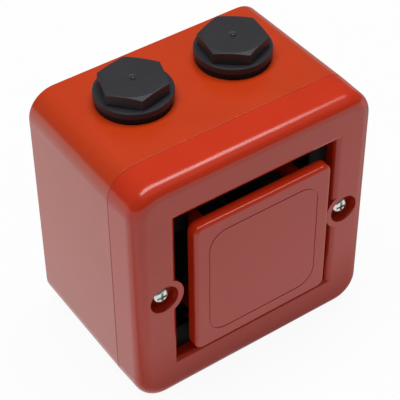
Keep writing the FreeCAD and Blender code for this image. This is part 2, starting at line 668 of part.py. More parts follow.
def make_front_cover():
    """Front cover: square mouth with a rounded lip, screw bosses and a sealing tongue."""
    body = new_body("front_cover")
    outline = new_sketch(body, "XZ_Plane", "rear_depth")
    draw_rounded_rectangle(outline, "width", "height", "corner_radius")
    block = pad(body, outline, "depth - rear_depth", draft="-front_draft")
    block = round_edges(body, block, edges_where(block, at_depth("depth")), "front_edge_radius")
    dress("Chamfer", body, block, edges_where(block, at_depth("rear_depth")), "Size",
          "parting_chamfer")

    hollow = new_sketch(body, "XZ_Plane", "rear_depth")
    draw_rounded_rectangle(hollow, "width - 2 * cover_wall", "height - 2 * cover_wall",
                           "corner_radius - cover_wall")
    pocket(body, hollow, "depth - rear_depth - front_skin", reverse=True, draft="-front_draft")

    tube = new_sketch(body, "XZ_Plane", "depth - mouth_depth")
    draw_rounded_rectangle(tube, "mouth_width - 2 * lip_radius + 2 * mouth_wall",
                           "mouth_height - 2 * lip_radius + 2 * mouth_wall", "mouth_wall")
    pad(body, tube, "mouth_depth - front_skin / 2")

    mouth = new_sketch(body, "XZ_Plane", "depth")
    draw_rectangle(mouth, "lip_radius - mouth_width / 2", "mouth_width / 2 - lip_radius",
                   "lip_radius - mouth_height / 2", "mouth_height / 2 - lip_radius")
    opening = pocket(body, mouth, "mouth_depth + cut_margin")
    on_front = at_depth("depth")
    half_width = value("mouth_width / 2")
    half_height = value("mouth_height / 2")
    lip = edges_where(opening, lambda point: on_front(point) and abs(point.x) < half_width
                      and abs(point.z) < half_height)
    round_edges(body, opening, lip, "lip_radius")

    bosses = new_sketch(body, "XZ_Plane", "rear_depth + pillar_gap")
    for side in ("", "-"):
        draw_circle(bosses, side + "screw_spacing / 2", "0", "boss_radius")
    pad(body, bosses, "depth - rear_depth - pillar_gap - front_skin / 2")
    noses = new_sketch(body, "XZ_Plane", "depth - mouth_depth")
    rise = "sqrt(boss_radius ^ 2 - (screw_spacing / 2 - mouth_width / 2) ^ 2)"
    for side in ("", "-"):
        line = side + "mouth_width / 2"
        draw_outline(noses, [(line, "-" + rise, side + "boss_radius"), (line, rise)])
    pad(body, noses, "mouth_depth")

    small_bosses = new_sketch(body, "XZ_Plane", "depth - mouth_depth")
    draw_four(small_bosses, HORN_SCREW_X, HORN_SCREW_Z, "small_boss_radius")
    pad(body, small_bosses, "mouth_depth - front_skin / 2")
    pilots = new_sketch(body, "XZ_Plane", "depth - mouth_depth")
    draw_four(pilots, HORN_SCREW_X, HORN_SCREW_Z, "small_pilot_radius")
    pocket(body, pilots, "small_pilot_depth", reverse=True)

    for offset, radius, length, reverse in (
            ("depth - mouth_depth", "pillar_radius + pillar_clearance",
             "rear_depth + pillar_gap - depth + mouth_depth", True),
            ("depth", "counterbore_radius", "counterbore_depth", False),
            ("depth", "screw_hole_radius", "depth - rear_depth + cut_margin", False)):
        holes = new_sketch(body, "XZ_Plane", offset)
        for side in ("", "-"):
            draw_circle(holes, side + "screw_spacing / 2", "0", radius)
        pocket(body, holes, length, reverse=reverse)

    tongue = new_sketch(body, "XZ_Plane", "rear_depth")
    draw_seal_ring(tongue, "groove_inset + seal_clearance", "groove_width - 2 * seal_clearance")
    pad(body, tongue, "tongue_height", reverse=True)


def make_cover_screws():
    """Two pan-head screws with a crowned head and a cross recess, and their washers."""
    screw = new_body("cover_screw_master")
    shape = new_sketch(screw, "XY_Plane")
    crown = "screw_head_height - screw_head_radius * 0.2"
    draw_outline(shape, [
        ("0", "screw_length"), ("0", "-screw_head_height"),
        ("screw_head_radius * 0.45", "-screw_head_height", "-screw_head_radius * 0.8"),
        ("screw_head_radius", "-(%s) * 0.55" % crown), ("screw_head_radius", "0"),
        ("screw_radius", "0"), ("screw_radius", "screw_length - screw_radius"),
        ("screw_radius * 0.5", "screw_length")])
    turn("Revolution", screw, shape)
    for width, height in (("cross_span", "cross_width"), ("cross_width", "cross_span")):
        cross = new_sketch(screw, "XZ_Plane", "screw_head_height")
        draw_rectangle(cross, "-%s / 2" % width, "%s / 2" % width,
                       "-%s / 2" % height, "%s / 2" % height)
        pocket(screw, cross, "cross_depth")
    seat = "-(depth - counterbore_depth)"
    head = seat + " - screw_washer_thickness"
    group_of_copies("cover_screws", screw, [
        ("screw_spacing / 2", head, "0"), ("-screw_spacing / 2", head, "0")])
    washer = turned_part("screw_washer_master", [
        ("screw_radius + seal_clearance", "0"), ("screw_washer_radius", "0"),
        ("screw_washer_radius", "-screw_washer_thickness"),
        ("screw_radius + seal_clearance", "-screw_washer_thickness")])
    group_of_copies("cover_screw_washers", washer, [
        ("screw_spacing / 2", seat, "0"), ("-screw_spacing / 2", seat, "0")])


def make_deflector():
    """Square plate before the mouth, carried on four posts, with a reflector cone behind."""
    body = new_body("deflector_plate")
    front = "(depth + plate_proud)"
    outline = new_sketch(body, "XZ_Plane", front + " - plate_rim")
    draw_rounded_rectangle(outline, "plate_width", "plate_height", "plate_corner")
    block = pad(body, outline, "plate_rim")
    round_edges(body, block, edges_where(block, at_depth(front)), "plate_edge")

    hollow = new_sketch(body, "XZ_Plane", front + " - plate_rim")
    draw_rounded_rectangle(hollow, "plate_width - 2 * plate_wall", "plate_height - 2 * plate_wall",
                           "plate_corner - plate_wall")
    pocket(body, hollow, "plate_rim - plate_wall", reverse=True)

    line = new_sketch(body, "XZ_Plane", front)
    for reach in ("0", "outline_line"):
        draw_rounded_rectangle(line, "outline_width - 2 * " + reach, "outline_height - 2 * " + reach,
                               "outline_corner - " + reach)
    pocket(body, line, "outline_sink")

    foot = "depth - mouth_depth"
    posts = new_sketch(body, "XZ_Plane", foot)
    draw_four(posts, "post_x", "post_z", "post_radius")
    pad(body, posts, front + " - plate_wall / 2 - (%s)" % foot)
    pilots = new_sketch(body, "XZ_Plane", foot)
    draw_four(pilots, "post_x", "post_z", "small_pilot_radius")
    pocket(body, pilots, "small_pilot_depth", reverse=True)

    base = "-(%s - plate_wall / 2)" % front
    inside = "-(%s - plate_wall)" % front
    tip = "-(%s - plate_wall - cone_height)" % front
    cone = new_sketch(body, "XY_Plane")
    draw_outline(cone, [
        ("0", base), ("cone_radius", base), ("cone_radius", inside, "cone_curve"),
        ("cone_tip_radius", tip), ("0", tip)])
    turn("Revolution", body, cone)


def make_horn():
    """Black moulding behind the mouth: plate, throat, corner blocks, driver flange and posts."""
    body = new_body("horn_flare")
    back = "(depth - mouth_depth - horn_plate)"
    plate = new_sketch(body, "XZ_Plane", back)
    draw_rounded_rectangle(plate, "width - 2 * horn_margin", "height - 2 * horn_margin",
                           "horn_corner")
    pad(body, plate, "horn_plate")

    neck = new_sketch(body, "XY_Plane")
    flange_front = "-(%s - neck_length)" % back
    flange_back = "-(%s - neck_length - driver_flange)" % back
    inside = "-(%s + horn_plate / 2)" % back
    draw_outline(neck, [
        ("0", inside), ("neck_radius", inside), ("neck_radius", flange_front),
        ("driver_radius", flange_front), ("driver_radius", flange_back), ("0", flange_back)])
    turn("Revolution", body, neck)

    bell = new_sketch(body, "XY_Plane")
    mouth = "-(depth - mouth_depth)"
    draw_outline(bell, [
        ("0", flange_back), ("throat_radius", flange_back, "-bell_curve"),
        ("bell_radius", mouth), ("0", mouth)])
    turn("Groove", body, bell)

    blocks = new_sketch(body, "XZ_Plane", "depth - mouth_depth - horn_plate / 2")
    draw_corner_blocks(blocks, "block_play", "0")
    pad(body, blocks, "mouth_depth + horn_plate / 2 - block_drop")
    cores = new_sketch(body, "XZ_Plane", back)
    draw_corner_blocks(cores, "(block_play + block_wall)", "block_wall")
    pocket(body, cores, "horn_plate + mouth_depth - block_drop - block_wall", reverse=True)

    posts = new_sketch(body, "XZ_Plane", "board_face")
    for x, z in board_post_places():
        draw_circle(posts, x, z, "board_post_radius")
    pad(body, posts, back + " - board_face + horn_plate / 2")
    holes = new_sketch(body, "XZ_Plane", back)
    draw_four(holes, HORN_SCREW_X, HORN_SCREW_Z, "small_hole_radius")
    draw_four(holes, "post_x", "post_z", "small_hole_radius")
    pocket(body, holes, "horn_plate + cut_margin", reverse=True)
    pilots = new_sketch(body, "XZ_Plane", "board_face")
    for x, z in board_post_places():
        draw_circle(pilots, x, z, "small_pilot_radius")
    pocket(body, pilots, "small_pilot_depth", reverse=True)
    driver_pilots = new_sketch(body, "XZ_Plane", "%s - neck_length - driver_flange" % back)
    diagonal = "driver_screw_circle * sqrt(0.5)"
    draw_four(driver_pilots, diagonal, diagonal, "small_pilot_radius")
    pocket(body, driver_pilots, "driver_flange + cut_margin", reverse=True)
    notches = new_sketch(body, "XZ_Plane", back)
    draw_pillar_notches(notches, "width / 2")
    pocket(body, notches, "horn_plate + cut_margin", reverse=True)


def draw_corner_blocks(sketch, outside, inside):
    """Draw a rectangle in each corner of the mouth, off its walls and inner lines by two gaps."""
    far_x = "(mouth_width / 2 - lip_radius - %s)" % outside
    far_z = "(mouth_height / 2 - lip_radius - %s)" % outside
    near_x = "(block_x + %s)" % inside
    near_z = "(block_z + %s)" % inside
    for left, right in ((near_x, far_x), ("-" + far_x, "-" + near_x)):
        draw_rectangle(sketch, left, right, near_z, far_z)
        draw_rectangle(sketch, left, right, "-" + far_z, "-" + near_z)


def draw_pillar_notches(sketch, edge):
    """Draw the two notches that let the housing's pillars past, open towards the sides."""
    play = "(pillar_radius + pillar_clearance)"
    for side in ("", "-"):
        middle = side + "screw_spacing / 2"
        inside = "%s(screw_spacing / 2 - %s)" % (side, play)
        draw_outline(sketch, [
            (side + edge, "-" + play), (middle, "-" + play, side + play),
            (inside, "0", side + play), (middle, play), (side + edge, play)])


def board_post_places():
    """List the places of the four board posts as across and upwards."""
    return [("%s(%s - board_post_side)" % (side, BOARD_SIDE), end) for side in ("", "-")
            for end in ("%s - board_post_top" % BOARD_TOP, "-board_post_bottom")]


def small_screw(label, length):
    """Make one small pan-head screw along the front-to-back axis, its head behind the origin."""
    screw = new_body(label)
    shape = new_sketch(screw, "XY_Plane")
    draw_outline(shape, [
        ("0", "small_head_height"), ("0", "-(%s)" % length),
        ("small_screw_radius * 0.4", "-(%s)" % length),
        ("small_screw_radius", "-(%s) + small_screw_radius" % length),
        ("small_screw_radius", "0"), ("small_head_radius", "0"),
        ("small_head_radius", "small_head_height * 0.5"),
        ("small_head_radius * 0.6", "small_head_height")])
    turn("Revolution", screw, shape)
    return screw


def make_small_screws():
    """Screws of the horn, the deflector, the driver and the board, four of each."""
    back = "depth - mouth_depth - horn_plate"
    board_back = "board_face - board_thickness"
    for label, length, places in (
            ("horn_screws", "small_screw_length", four_places(HORN_SCREW_X, back, HORN_SCREW_Z)),
            ("deflector_screws", "small_screw_length", four_places("post_x", back, "post_z")),
            ("driver_screws", "driver_screw_length", four_places(
                "driver_screw_circle * sqrt(0.5)", depth_after("top_plate"),
                "driver_screw_circle * sqrt(0.5)")),
            ("board_screws", "small_screw_length", [
                (x, "-(%s)" % board_back, z) for x, z in board_post_places()])):
        group_of_copies(label, small_screw(label + "_master", length), places)


def depth_after(layer):
    """Give the depth from the wall of a driver layer's back, from the stack before it."""
    text = "depth"
    for name, thickness in DRIVER_STACK:
        text += " - (%s)" % thickness
        if name == layer:
            break
    return "(%s)" % text


def make_driver():
    """Compression driver: seal, phase plug, diaphragm, clamp ring, coil, plates and magnet."""
    flange = "-" + depth_after("flange")
    seal = "-" + depth_after("seal")
    plug = "-" + depth_after("phase_plug")
    film = "-" + depth_after("film")
    clamp = "-" + depth_after("clamp")
    plate = "-" + depth_after("top_plate")
    magnet = "-" + depth_after("magnet")
    yoke = "-" + depth_after("yoke")
    diagonal = "driver_screw_circle * sqrt(0.5)"

    turned_part("driver_seal_ring", [
        ("throat_radius + throat_margin", flange), ("diaphragm_radius", flange),
        ("diaphragm_radius", seal), ("throat_radius + throat_margin", seal)])

    phase = turned_part("phase_plug", [
        ("0", seal), ("driver_radius", seal), ("driver_radius", plug), ("chamber_radius", plug),
        ("chamber_radius", plug + " - chamber_depth"), ("0", plug + " - chamber_depth")])
    port = new_sketch(phase, "XZ_Plane", depth_after("phase_plug"))
    draw_circle(port, "port_circle", "0", "port_radius")
    hole = pocket(phase, port, "phase_plug_thickness + cut_margin", reverse=True)
    repeat_round(phase, hole, "Y_Axis", 6)
    drill_driver_screws(phase, depth_after("phase_plug"), "phase_plug_thickness + cut_margin", diagonal)

    dome = "((dome_radius ^ 2 + dome_height ^ 2) / (2 * dome_height))"
    half_roll = "((chamber_radius - rim_play - roll_radius) / 2)"
    roll = "((%s ^ 2 + roll_height ^ 2) / (2 * roll_height))" % half_roll
    turned_part("diaphragm", [
        ("0", plug + " - dome_height", "-" + dome), ("dome_radius", plug),
        ("roll_radius", plug, "-" + roll), ("chamber_radius - rim_play", plug),
        ("diaphragm_radius", plug), ("diaphragm_radius", film),
        ("chamber_radius - rim_play", film, roll), ("roll_radius", film),
        ("dome_radius", film, dome), ("0", film + " - dome_height")])

    clamp_ring = turned_part("diaphragm_clamp", [
        ("chamber_radius", film), ("diaphragm_radius + rim_play", film),
        ("diaphragm_radius + rim_play", plug),
        ("driver_radius", plug), ("driver_radius", clamp), ("chamber_radius", clamp)])
    tab = new_sketch(clamp_ring, "XZ_Plane", depth_after("clamp"))
    draw_rectangle(tab, "-tab_width / 2", "tab_width / 2", "-tab_reach",
                   "-(driver_radius + chamber_radius) / 2")
    pad(clamp_ring, tab, "clamp_thickness")
    drill_driver_screws(clamp_ring, depth_after("clamp"), "clamp_thickness + film + cut_margin", diagonal)

    turned_part("voice_coil", [
        ("coil_inner", film), ("coil_outer", film), ("coil_outer", film + " + coil_length"),
        ("coil_inner", film + " + coil_length")])

    top = turned_part("top_plate", [
        ("gap_radius", clamp), ("driver_radius - top_plate_step", clamp),
        ("driver_radius - top_plate_step", plate),
        ("gap_radius", plate)])
    drill_driver_screws(top, depth_after("top_plate"), "top_plate_thickness + cut_margin", diagonal)

    turned_part("magnet_ring", [
        ("magnet_inner", plate), ("magnet_outer - magnet_edge", plate),
        ("magnet_outer", plate + " + magnet_edge"),
        ("magnet_outer", magnet + " - magnet_edge"), ("magnet_outer - magnet_edge", magnet),
        ("magnet_inner", magnet)])

    turned_part("yoke", [
        ("vent_radius", yoke), ("yoke_radius - yoke_edge", yoke), ("yoke_radius", yoke + " - yoke_edge"),
        ("yoke_radius", magnet), ("pole_radius", magnet),
        ("pole_radius", clamp + " - pole_lift + pole_edge"),
        ("pole_radius - pole_edge", clamp + " - pole_lift"), ("vent_radius", clamp + " - pole_lift")])

    make_driver_terminals()


def drill_driver_screws(body, offset, length, diagonal):
    """Drill the four driver screw holes through one layer."""
    sketch = new_sketch(body, "XZ_Plane", offset)
    draw_four(sketch, diagonal, diagonal, "small_hole_radius")
    pocket(body, sketch, length, reverse=True)


def make_driver_terminals():
    """Two solder tags on the clamp ring's tab, and the two leads from them to the board."""
    tags = new_body("driver_terminals")
    sketch = new_sketch(tags, "XZ_Plane", depth_after("clamp") + " - tag_thickness")
    for side in ("", "-"):
        middle = side + "tag_spacing / 2"
        draw_rectangle(sketch, middle + " - tag_width / 2", middle + " + tag_width / 2",
                       "tag_inset - tab_reach", "tag_length - tag_inset - tab_reach")
    pad(tags, sketch, "tag_thickness")

    start = "(%s - tag_thickness)" % depth_after("clamp")
    top = "(lead_inset - tab_reach)"
    board = "board_face - board_thickness"
    lead = new_body("driver_lead_master")
    path = new_sketch(lead, "YZ_Plane")
    back = "-(%s - lead_rise)" % start
    draw_outline(path, [
        ("-" + start, top), (back, top, "lead_bend"),
        (back + " + lead_bend", top + " - lead_bend", "lead_bend"),
        (back, top + " - 2 * lead_bend"), ("-(%s)" % board, top + " - 2 * lead_bend")], closed=False)
    section = new_sketch(lead, "XZ_Plane", start)
    draw_circle(section, "0", top, "lead_radius")
    pipe = lead.newObject("PartDesign::AdditivePipe", "driver_lead_pipe")
    pipe.Profile = section
    pipe.Spine = (path, ["Edge1", "Edge2", "Edge3", "Edge4"])
    doc.recompute()
    group_of_copies("driver_leads", lead, [
        ("tag_spacing / 2", "0", "0"), ("-tag_spacing / 2", "0", "0")])


def make_board():
    """Circuit board with a hole for the driver and notches for the pillars."""
    body = new_body("circuit_board")
    outline = new_sketch(body, "XZ_Plane", "board_face - board_thickness")
    inside_x = "(%s - board_corner)" % BOARD_SIDE
    inside_top = "%s - board_corner" % BOARD_TOP
    inside_low = "-(%s - board_corner)" % BOARD_LOW
    bow = "-board_corner"
    draw_outline(outline, [
        ("-" + inside_x, "-" + BOARD_LOW), (inside_x, "-" + BOARD_LOW, bow),
        (BOARD_SIDE, inside_low), (BOARD_SIDE, inside_top, bow),
        (inside_x, BOARD_TOP), ("-" + inside_x, BOARD_TOP, bow),
        ("-" + BOARD_SIDE, inside_top), ("-" + BOARD_SIDE, inside_low, bow)])
    pad(body, outline, "board_thickness")
    holes = new_sketch(body, "XZ_Plane", "board_face - board_thickness")
    draw_circle(holes, "0", "0", "driver_radius + board_hole_margin")
    for x, z in board_post_places():
        draw_circle(holes, x, z, "small_hole_radius")
    pocket(body, holes, "board_thickness + cut_margin", reverse=True)
    notches = new_sketch(body, "XZ_Plane", "board_face - board_thickness")
    draw_pillar_notches(notches, "(%s + cut_margin)" % BOARD_SIDE)
    pocket(body, notches, "board_thickness + cut_margin", reverse=True)


def board_block(label, x, z, width, height, low, high):
    """Make a plain block that stands on the board's back, between two heights above it."""
    body = new_body(label)
    sketch = new_sketch(body, "XZ_Plane", "board_face - board_thickness - (%s)" % high)
    draw_rectangle(sketch, "%s - (%s) / 2" % (x, width), "%s + (%s) / 2" % (x, width),
                   "%s - (%s) / 2" % (z, height), "%s + (%s) / 2" % (z, height))
    pad(body, sketch, "%s - (%s)" % (high, low))
    return body


def make_terminals():
    """Six-way terminal block with wire mouths below and clamp screws facing the wall."""
    ways = int(value("terminal_ways"))
    body = board_block("terminal_block", "0", TERMINAL_Z, "terminal_ways * terminal_pitch",
                       "terminal_side", "0", "terminal_height")
    face = "board_face - board_thickness - terminal_height"
    centres = ["terminal_pitch * (%d - (terminal_ways - 1) / 2)" % way for way in range(ways)]
    wells = new_sketch(body, "XZ_Plane", face)
    for centre in centres:
        draw_circle(wells, centre, TERMINAL_Z, "terminal_screw_radius + terminal_well")
    pocket(body, wells, "terminal_height * 0.5", reverse=True)
    mouths = new_sketch(body, "XY_Plane", TERMINAL_Z + " - terminal_side / 2")
    near = "-(board_face - board_thickness - terminal_floor - terminal_mouth)"
    for centre in centres:
        draw_rectangle(mouths, centre + " - terminal_mouth / 2", centre + " + terminal_mouth / 2",
                       near + " - terminal_mouth", near)
    pocket(body, mouths, "terminal_side * 0.8", reverse=True)

    screw = new_body("terminal_screw_master")
    shape = new_sketch(screw, "XY_Plane")
    draw_outline(shape, [
        ("0", "0"), ("terminal_screw_radius", "0"),
        ("terminal_screw_radius", "-terminal_height * 0.22"),
        ("terminal_shank", "-terminal_height * 0.22"),
        ("terminal_shank", "-terminal_height * 0.42"), ("0", "-terminal_height * 0.42")])
    turn("Revolution", screw, shape)
    slot = new_sketch(screw, "XZ_Plane", "0")
    draw_rectangle(slot, "-terminal_screw_radius", "terminal_screw_radius", "-terminal_slot / 2",
                   "terminal_slot / 2")
    pocket(screw, slot, "terminal_slot_depth", reverse=True)
    bottom = "-(%s + terminal_height * 0.08)" % face
    group_of_copies("terminal_screws", screw, [(centre, bottom, TERMINAL_Z) for centre in centres])


def slider_places():
    """List the across places of the tone switch's sliders."""
    ways = int(value("switch_ways"))
    return ["-switch_x + switch_pitch * (%d - (switch_ways - 1) / 2)" % way for way in range(ways)]


def make_tone_switch():
    """Five-way slide switch block, and its five sliders at the lower end of their slots."""
    body = board_block("tone_switch", "-switch_x", SWITCH_Z, "switch_length", "switch_side",
                       "0", "switch_height")
    face = "board_face - board_thickness - switch_height"
    slots = new_sketch(body, "XZ_Plane", face)
    for x in slider_places():
        draw_rectangle(slots, x + " - slot_width / 2", x + " + slot_width / 2",
                       SWITCH_Z + " - slot_length / 2", SWITCH_Z + " + slot_length / 2")
    pocket(body, slots, "slot_depth", reverse=True)
    for number, x in enumerate(slider_places(), start=1):
        slider = new_body("tone_slider_%d" % number)
        low = SWITCH_Z + " - slot_length / 2 + slider_gap"
        sketch = new_sketch(slider, "XZ_Plane", "%s + slot_depth - slider_height" % face)
        draw_rectangle(sketch, x + " - slider_side / 2", x + " + slider_side / 2",
                       low, low + " + slider_side")
        pad(slider, sketch, "slider_height")


def make_volume_trimmer():
    """Volume trimmer: square case and a slotted rotor that turns in it."""
    body = board_block("volume_trimmer", "trimmer_x", "-trimmer_z", "trimmer_side", "trimmer_side",
                       "0", "trimmer_height")
    face = "board_face - board_thickness - trimmer_height"
    well = new_sketch(body, "XZ_Plane", face)
    draw_circle(well, "trimmer_x", "-trimmer_z", "rotor_radius + rotor_clearance")
    pocket(body, well, "rotor_height - rotor_proud", reverse=True)
    rotor = new_body("volume_rotor")
    disc = new_sketch(rotor, "XZ_Plane", face + " - rotor_proud")
    draw_circle(disc, "trimmer_x", "-trimmer_z", "rotor_radius")
    pad(rotor, disc, "rotor_height")
    slot = new_sketch(rotor, "XZ_Plane", face + " - rotor_proud")
    draw_rectangle(slot, "trimmer_x - rotor_radius * 0.8", "trimmer_x + rotor_radius * 0.8",
                   "-trimmer_z - rotor_slot_width / 2", "-trimmer_z + rotor_slot_width / 2")
    pocket(rotor, slot, "rotor_slot_depth", reverse=True)


def make_tone_chip():
    """Tone chip in a two-row case, and its bent pins as one group."""
    board_block("tone_chip", "-chip_x", "chip_z", "chip_width", "chip_length", "chip_lift",
                "chip_lift + chip_height")
    pin = new_body("chip_pin_master")
    middle = "(chip_lift + chip_height / 2)"
    side = "(chip_row_spacing / 2 - chip_width / 2)"
    low = middle + " - chip_pin_thickness / 2"
    high = middle + " + chip_pin_thickness / 2"
    mirror_pin = new_body("chip_pin_other_master")
    for master, turned in ((pin, ""), (mirror_pin, "-")):
        shape = new_sketch(master, "XY_Plane")
        inner = turned + side
        outer = "%s(%s + chip_pin_thickness)" % (turned, side)
        draw_outline(shape, [("0", low), (inner, low), (inner, "0"), (outer, "0"),
                             (outer, high), ("0", high)])
        pad(master, shape, "chip_pin_width")
    board_back = "-(board_face - board_thickness)"
    count = int(value("chip_pins_a_side"))
    rows = ["chip_z - chip_pin_width / 2 + chip_pin_pitch * (%d - (chip_pins_a_side - 1) / 2)" % row
            for row in range(count)]
    right = [("chip_width / 2 - chip_x", board_back, row) for row in rows]
    left = [("-chip_width / 2 - chip_x", board_back, row) for row in rows]
    group_of_copies("chip_pins", pin, right)
    group = doc.getObject("chip_pins")
    parts.remove(mirror_pin)
    links = list(group.Links)
    for number, (x, y, z) in enumerate(left):
        copy = doc.addObject("App::Link", "chip_pin_other_copy%d" % number)
        copy.LinkedObject = mirror_pin
        place(copy, x, y, z)
        links.append(copy)
    group.Links = links
    doc.recompute()


def make_capacitors():
    """Two upright capacitors with a rolled neck and a scored top."""
    inside = "capacitor_radius - capacitor_edge"
    can = turned_part("capacitor_master", [
        ("0", "0"), (inside, "0"), ("capacitor_radius", "capacitor_edge"),
        ("capacitor_radius", "capacitor_neck - capacitor_edge"), (inside, "capacitor_neck"),
        ("capacitor_radius", "capacitor_neck + capacitor_edge"),
        ("capacitor_radius", "capacitor_height - capacitor_edge"),
        (inside, "capacitor_height"), ("0", "capacitor_height")])
    back = "-(board_face - board_thickness)"
    group_of_copies("capacitors", can, [
        ("capacitor_one_x", back, "capacitor_one_z"),
        ("capacitor_two_x", back, BOARD_TOP + " - capacitor_two_top")])


def make_inductor():
    """Drum core standing on the board, and the winding on its spool."""
    core = turned_part("inductor_core", [
        ("0", "0"), ("inductor_radius", "0"), ("inductor_radius", "inductor_flange"),
        ("inductor_spool", "inductor_flange"),
        ("inductor_spool", "inductor_height - inductor_flange"),
        ("inductor_radius", "inductor_height - inductor_flange"),
        ("inductor_radius", "inductor_height"), ("0", "inductor_height")])
    winding = turned_part("inductor_winding", [
        ("inductor_spool", "inductor_flange"), ("winding_radius", "inductor_flange"),
        ("winding_radius", "inductor_height - inductor_flange"),
        ("inductor_spool", "inductor_height - inductor_flange")])
    for body in (core, winding):
        place(body, "-inductor_x", "-(board_face - board_thickness)", "-inductor_z")


def make_transistor():
    """Output transistor standing on its three legs, with its metal tab."""
    board_block("output_transistor", "transistor_x", TRANSISTOR_Z, "transistor_width",
                "transistor_body", "leg_length", "leg_length + transistor_height")
    board_block("transistor_tab", "transistor_x",
                TRANSISTOR_Z + " - transistor_body / 2 - tab_plate / 2", "transistor_width",
                "tab_plate", "leg_length", "leg_length + transistor_height + tab_rise")
    legs = new_body("transistor_legs")
    sketch = new_sketch(legs, "XZ_Plane", "board_face - board_thickness - leg_length")
    for step in ("-leg_pitch", "0", "leg_pitch"):
        middle = "transistor_x + (%s)" % step
        draw_rectangle(sketch, middle + " - leg_side / 2", middle + " + leg_side / 2",
                       TRANSISTOR_Z + " - leg_side / 2", TRANSISTOR_Z + " + leg_side / 2")
    pad(legs, sketch, "leg_length")


def make_diodes():
    """Rectifier diodes in a row above the driver, each with its two bent leads."""
    diode = new_body("diode_master")
    can = new_sketch(diode, "YZ_Plane", "-diode_length / 2")
    draw_circle(can, "diode_radius", "0", "diode_radius")
    pad(diode, can, "diode_length")
    wire = new_sketch(diode, "YZ_Plane", "-diode_length / 2 - diode_bend")
    draw_circle(wire, "diode_radius", "0", "diode_lead")
    pad(diode, wire, "diode_length + 2 * diode_bend")
    feet = new_sketch(diode, "XZ_Plane", "-diode_radius")
    for side in ("", "-"):
        draw_circle(feet, "%s(diode_length / 2 + diode_bend - diode_lead)" % side, "0",
                    "diode_lead * 0.9")
    pad(diode, feet, "diode_radius")
    count = int(value("diode_count"))
    back = "-(board_face - board_thickness)"
    group_of_copies("rectifier_diodes", diode, [
        ("diode_pitch * (%d - (diode_count - 1) / 2)" % number, back, "diode_z")
        for number in range(count)])


def make_plug(side, sign):
    """Hex-headed stopping plug with a round flange, and the sealing washer under it."""
    seat = "height / 2 - spot_face"
    x = sign + "plug_spacing / 2"
    washer = turned_part("%s_sealing_washer" % side, [
        ("seal_bore", "0"), ("seal_radius", "0"), ("seal_radius", "seal_thickness"),
        ("seal_bore", "seal_thickness")], "XZ_Plane")
    place(washer, x, "-plug_depth", seat)

    plug = new_body("%s_stopping_plug" % side)
    shank = new_sketch(plug, "XZ_Plane")
    rim = "seal_thickness + flange_rim"
    draw_outline(shank, [
        ("0", "-thread_length"), ("thread_radius - thread_chamfer", "-thread_length"),
        ("thread_radius", "thread_chamfer - thread_length"), ("thread_radius", "seal_thickness"),
        ("flange_radius", "seal_thickness"), ("flange_radius", rim + " - flange_edge"),
        ("flange_radius - flange_edge", rim), ("hex_flats / 2", rim + " - flange_dish"),
        ("0", rim + " - flange_dish")])
    turn("Revolution", plug, shank)
    head = new_sketch(plug, "XY_Plane", rim + " - flange_dish")
    corner = "hex_flats / 2 / cos(30)"
    angles = ["%s_plug_turn + %d" % (side, 60 * step) for step in range(6)]
    draw_outline(head, [("%s * sin(%s)" % (corner, angle), "%s * cos(%s)" % (corner, angle))
                        for angle in reversed(angles)])
    pad(plug, head, "hex_height")

    crown = new_sketch(plug, "XZ_Plane")
    top = rim + " - flange_dish + hex_height"
    draw_outline(crown, [
        ("crown_radius", top),
        ("hex_flats", top + " - (hex_flats - crown_radius) * tan(crown_slope)"),
        ("hex_flats", top + " + cut_margin"), ("crown_radius", top + " + cut_margin")])
    turn("Groove", plug, crown)
    dimple = new_sketch(plug, "XZ_Plane")
    draw_outline(dimple, [
        ("0", top + " - gate_depth"), ("gate_radius / 2", top + " - gate_depth"),
        ("gate_radius", top), ("0", top)])
    turn("Groove", plug, dimple)
    nub = new_sketch(plug, "XZ_Plane")
    draw_outline(nub, [
        ("0", top + " - 2 * gate_depth"), ("nub_radius", top + " - 2 * gate_depth"),
        ("nub_radius", top + " + nub_height / 2"), ("nub_radius / 2", top + " + nub_height"),
        ("0", top + " + nub_height")])
    turn("Revolution", plug, nub)
    core = new_sketch(plug, "XY_Plane", "-thread_length")
    draw_circle(core, "0", "0", "core_radius")
    pocket(plug, core, "thread_length + %s - core_roof" % top, reverse=True)
    place(plug, x, "-plug_depth", seat)


def check_and_write():
    """Check every object and every sub-part, then write one file for each sub-part."""
    doc.recompute()
    for item in doc.Objects:
        if "Invalid" in item.State or "Error" in item.State:
            raise RuntimeError("%s is in state %s" % (item.Label, item.State))
    for item in parts:
        if item.Shape.isNull() or not item.Shape.isValid() or not item.Shape.Solids:
            raise RuntimeError("%s has no valid solid" % item.Label)
    os.makedirs("parts", exist_ok=True)
    for item in parts:
        item.Shape.exportStep(os.path.join("parts", item.Label + ".step"))
        box = item.Shape.BoundBox
        print("%-22s %d solids, %9.2f mm3, x %.2f..%.2f, y %.2f..%.2f, z %.2f..%.2f" % (
            item.Label, len(item.Shape.Solids), item.Shape.Volume, box.XMin, box.XMax,
            box.YMin, box.YMax, box.ZMin, box.ZMax))


sheet = fill_sheet()
make_rear_housing()
make_housing_seal()
make_screw_inserts()
make_front_cover()
make_cover_screws()
make_deflector()
make_horn()
make_driver()
make_board()
make_small_screws()
make_terminals()
make_tone_switch()
make_volume_trimmer()
make_tone_chip()
make_capacitors()
make_inductor()
make_transistor()
make_diodes()
make_plug("left", "-")
make_plug("right", "")
check_and_write()
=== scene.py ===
"""Looks of the alarm sounder: a red moulded case whose square horn mouth has a plate before it.

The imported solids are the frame. This script gives them their finishes, threads the plugs and the
cover screws, winds the inductor, and sets up the studio and the camera of the photograph.
"""

import logging
import math
from collections.abc import Sequence
from dataclasses import dataclass, field
from enum import Enum
from functools import reduce

import bmesh
import bpy
from mathutils import Matrix, Vector


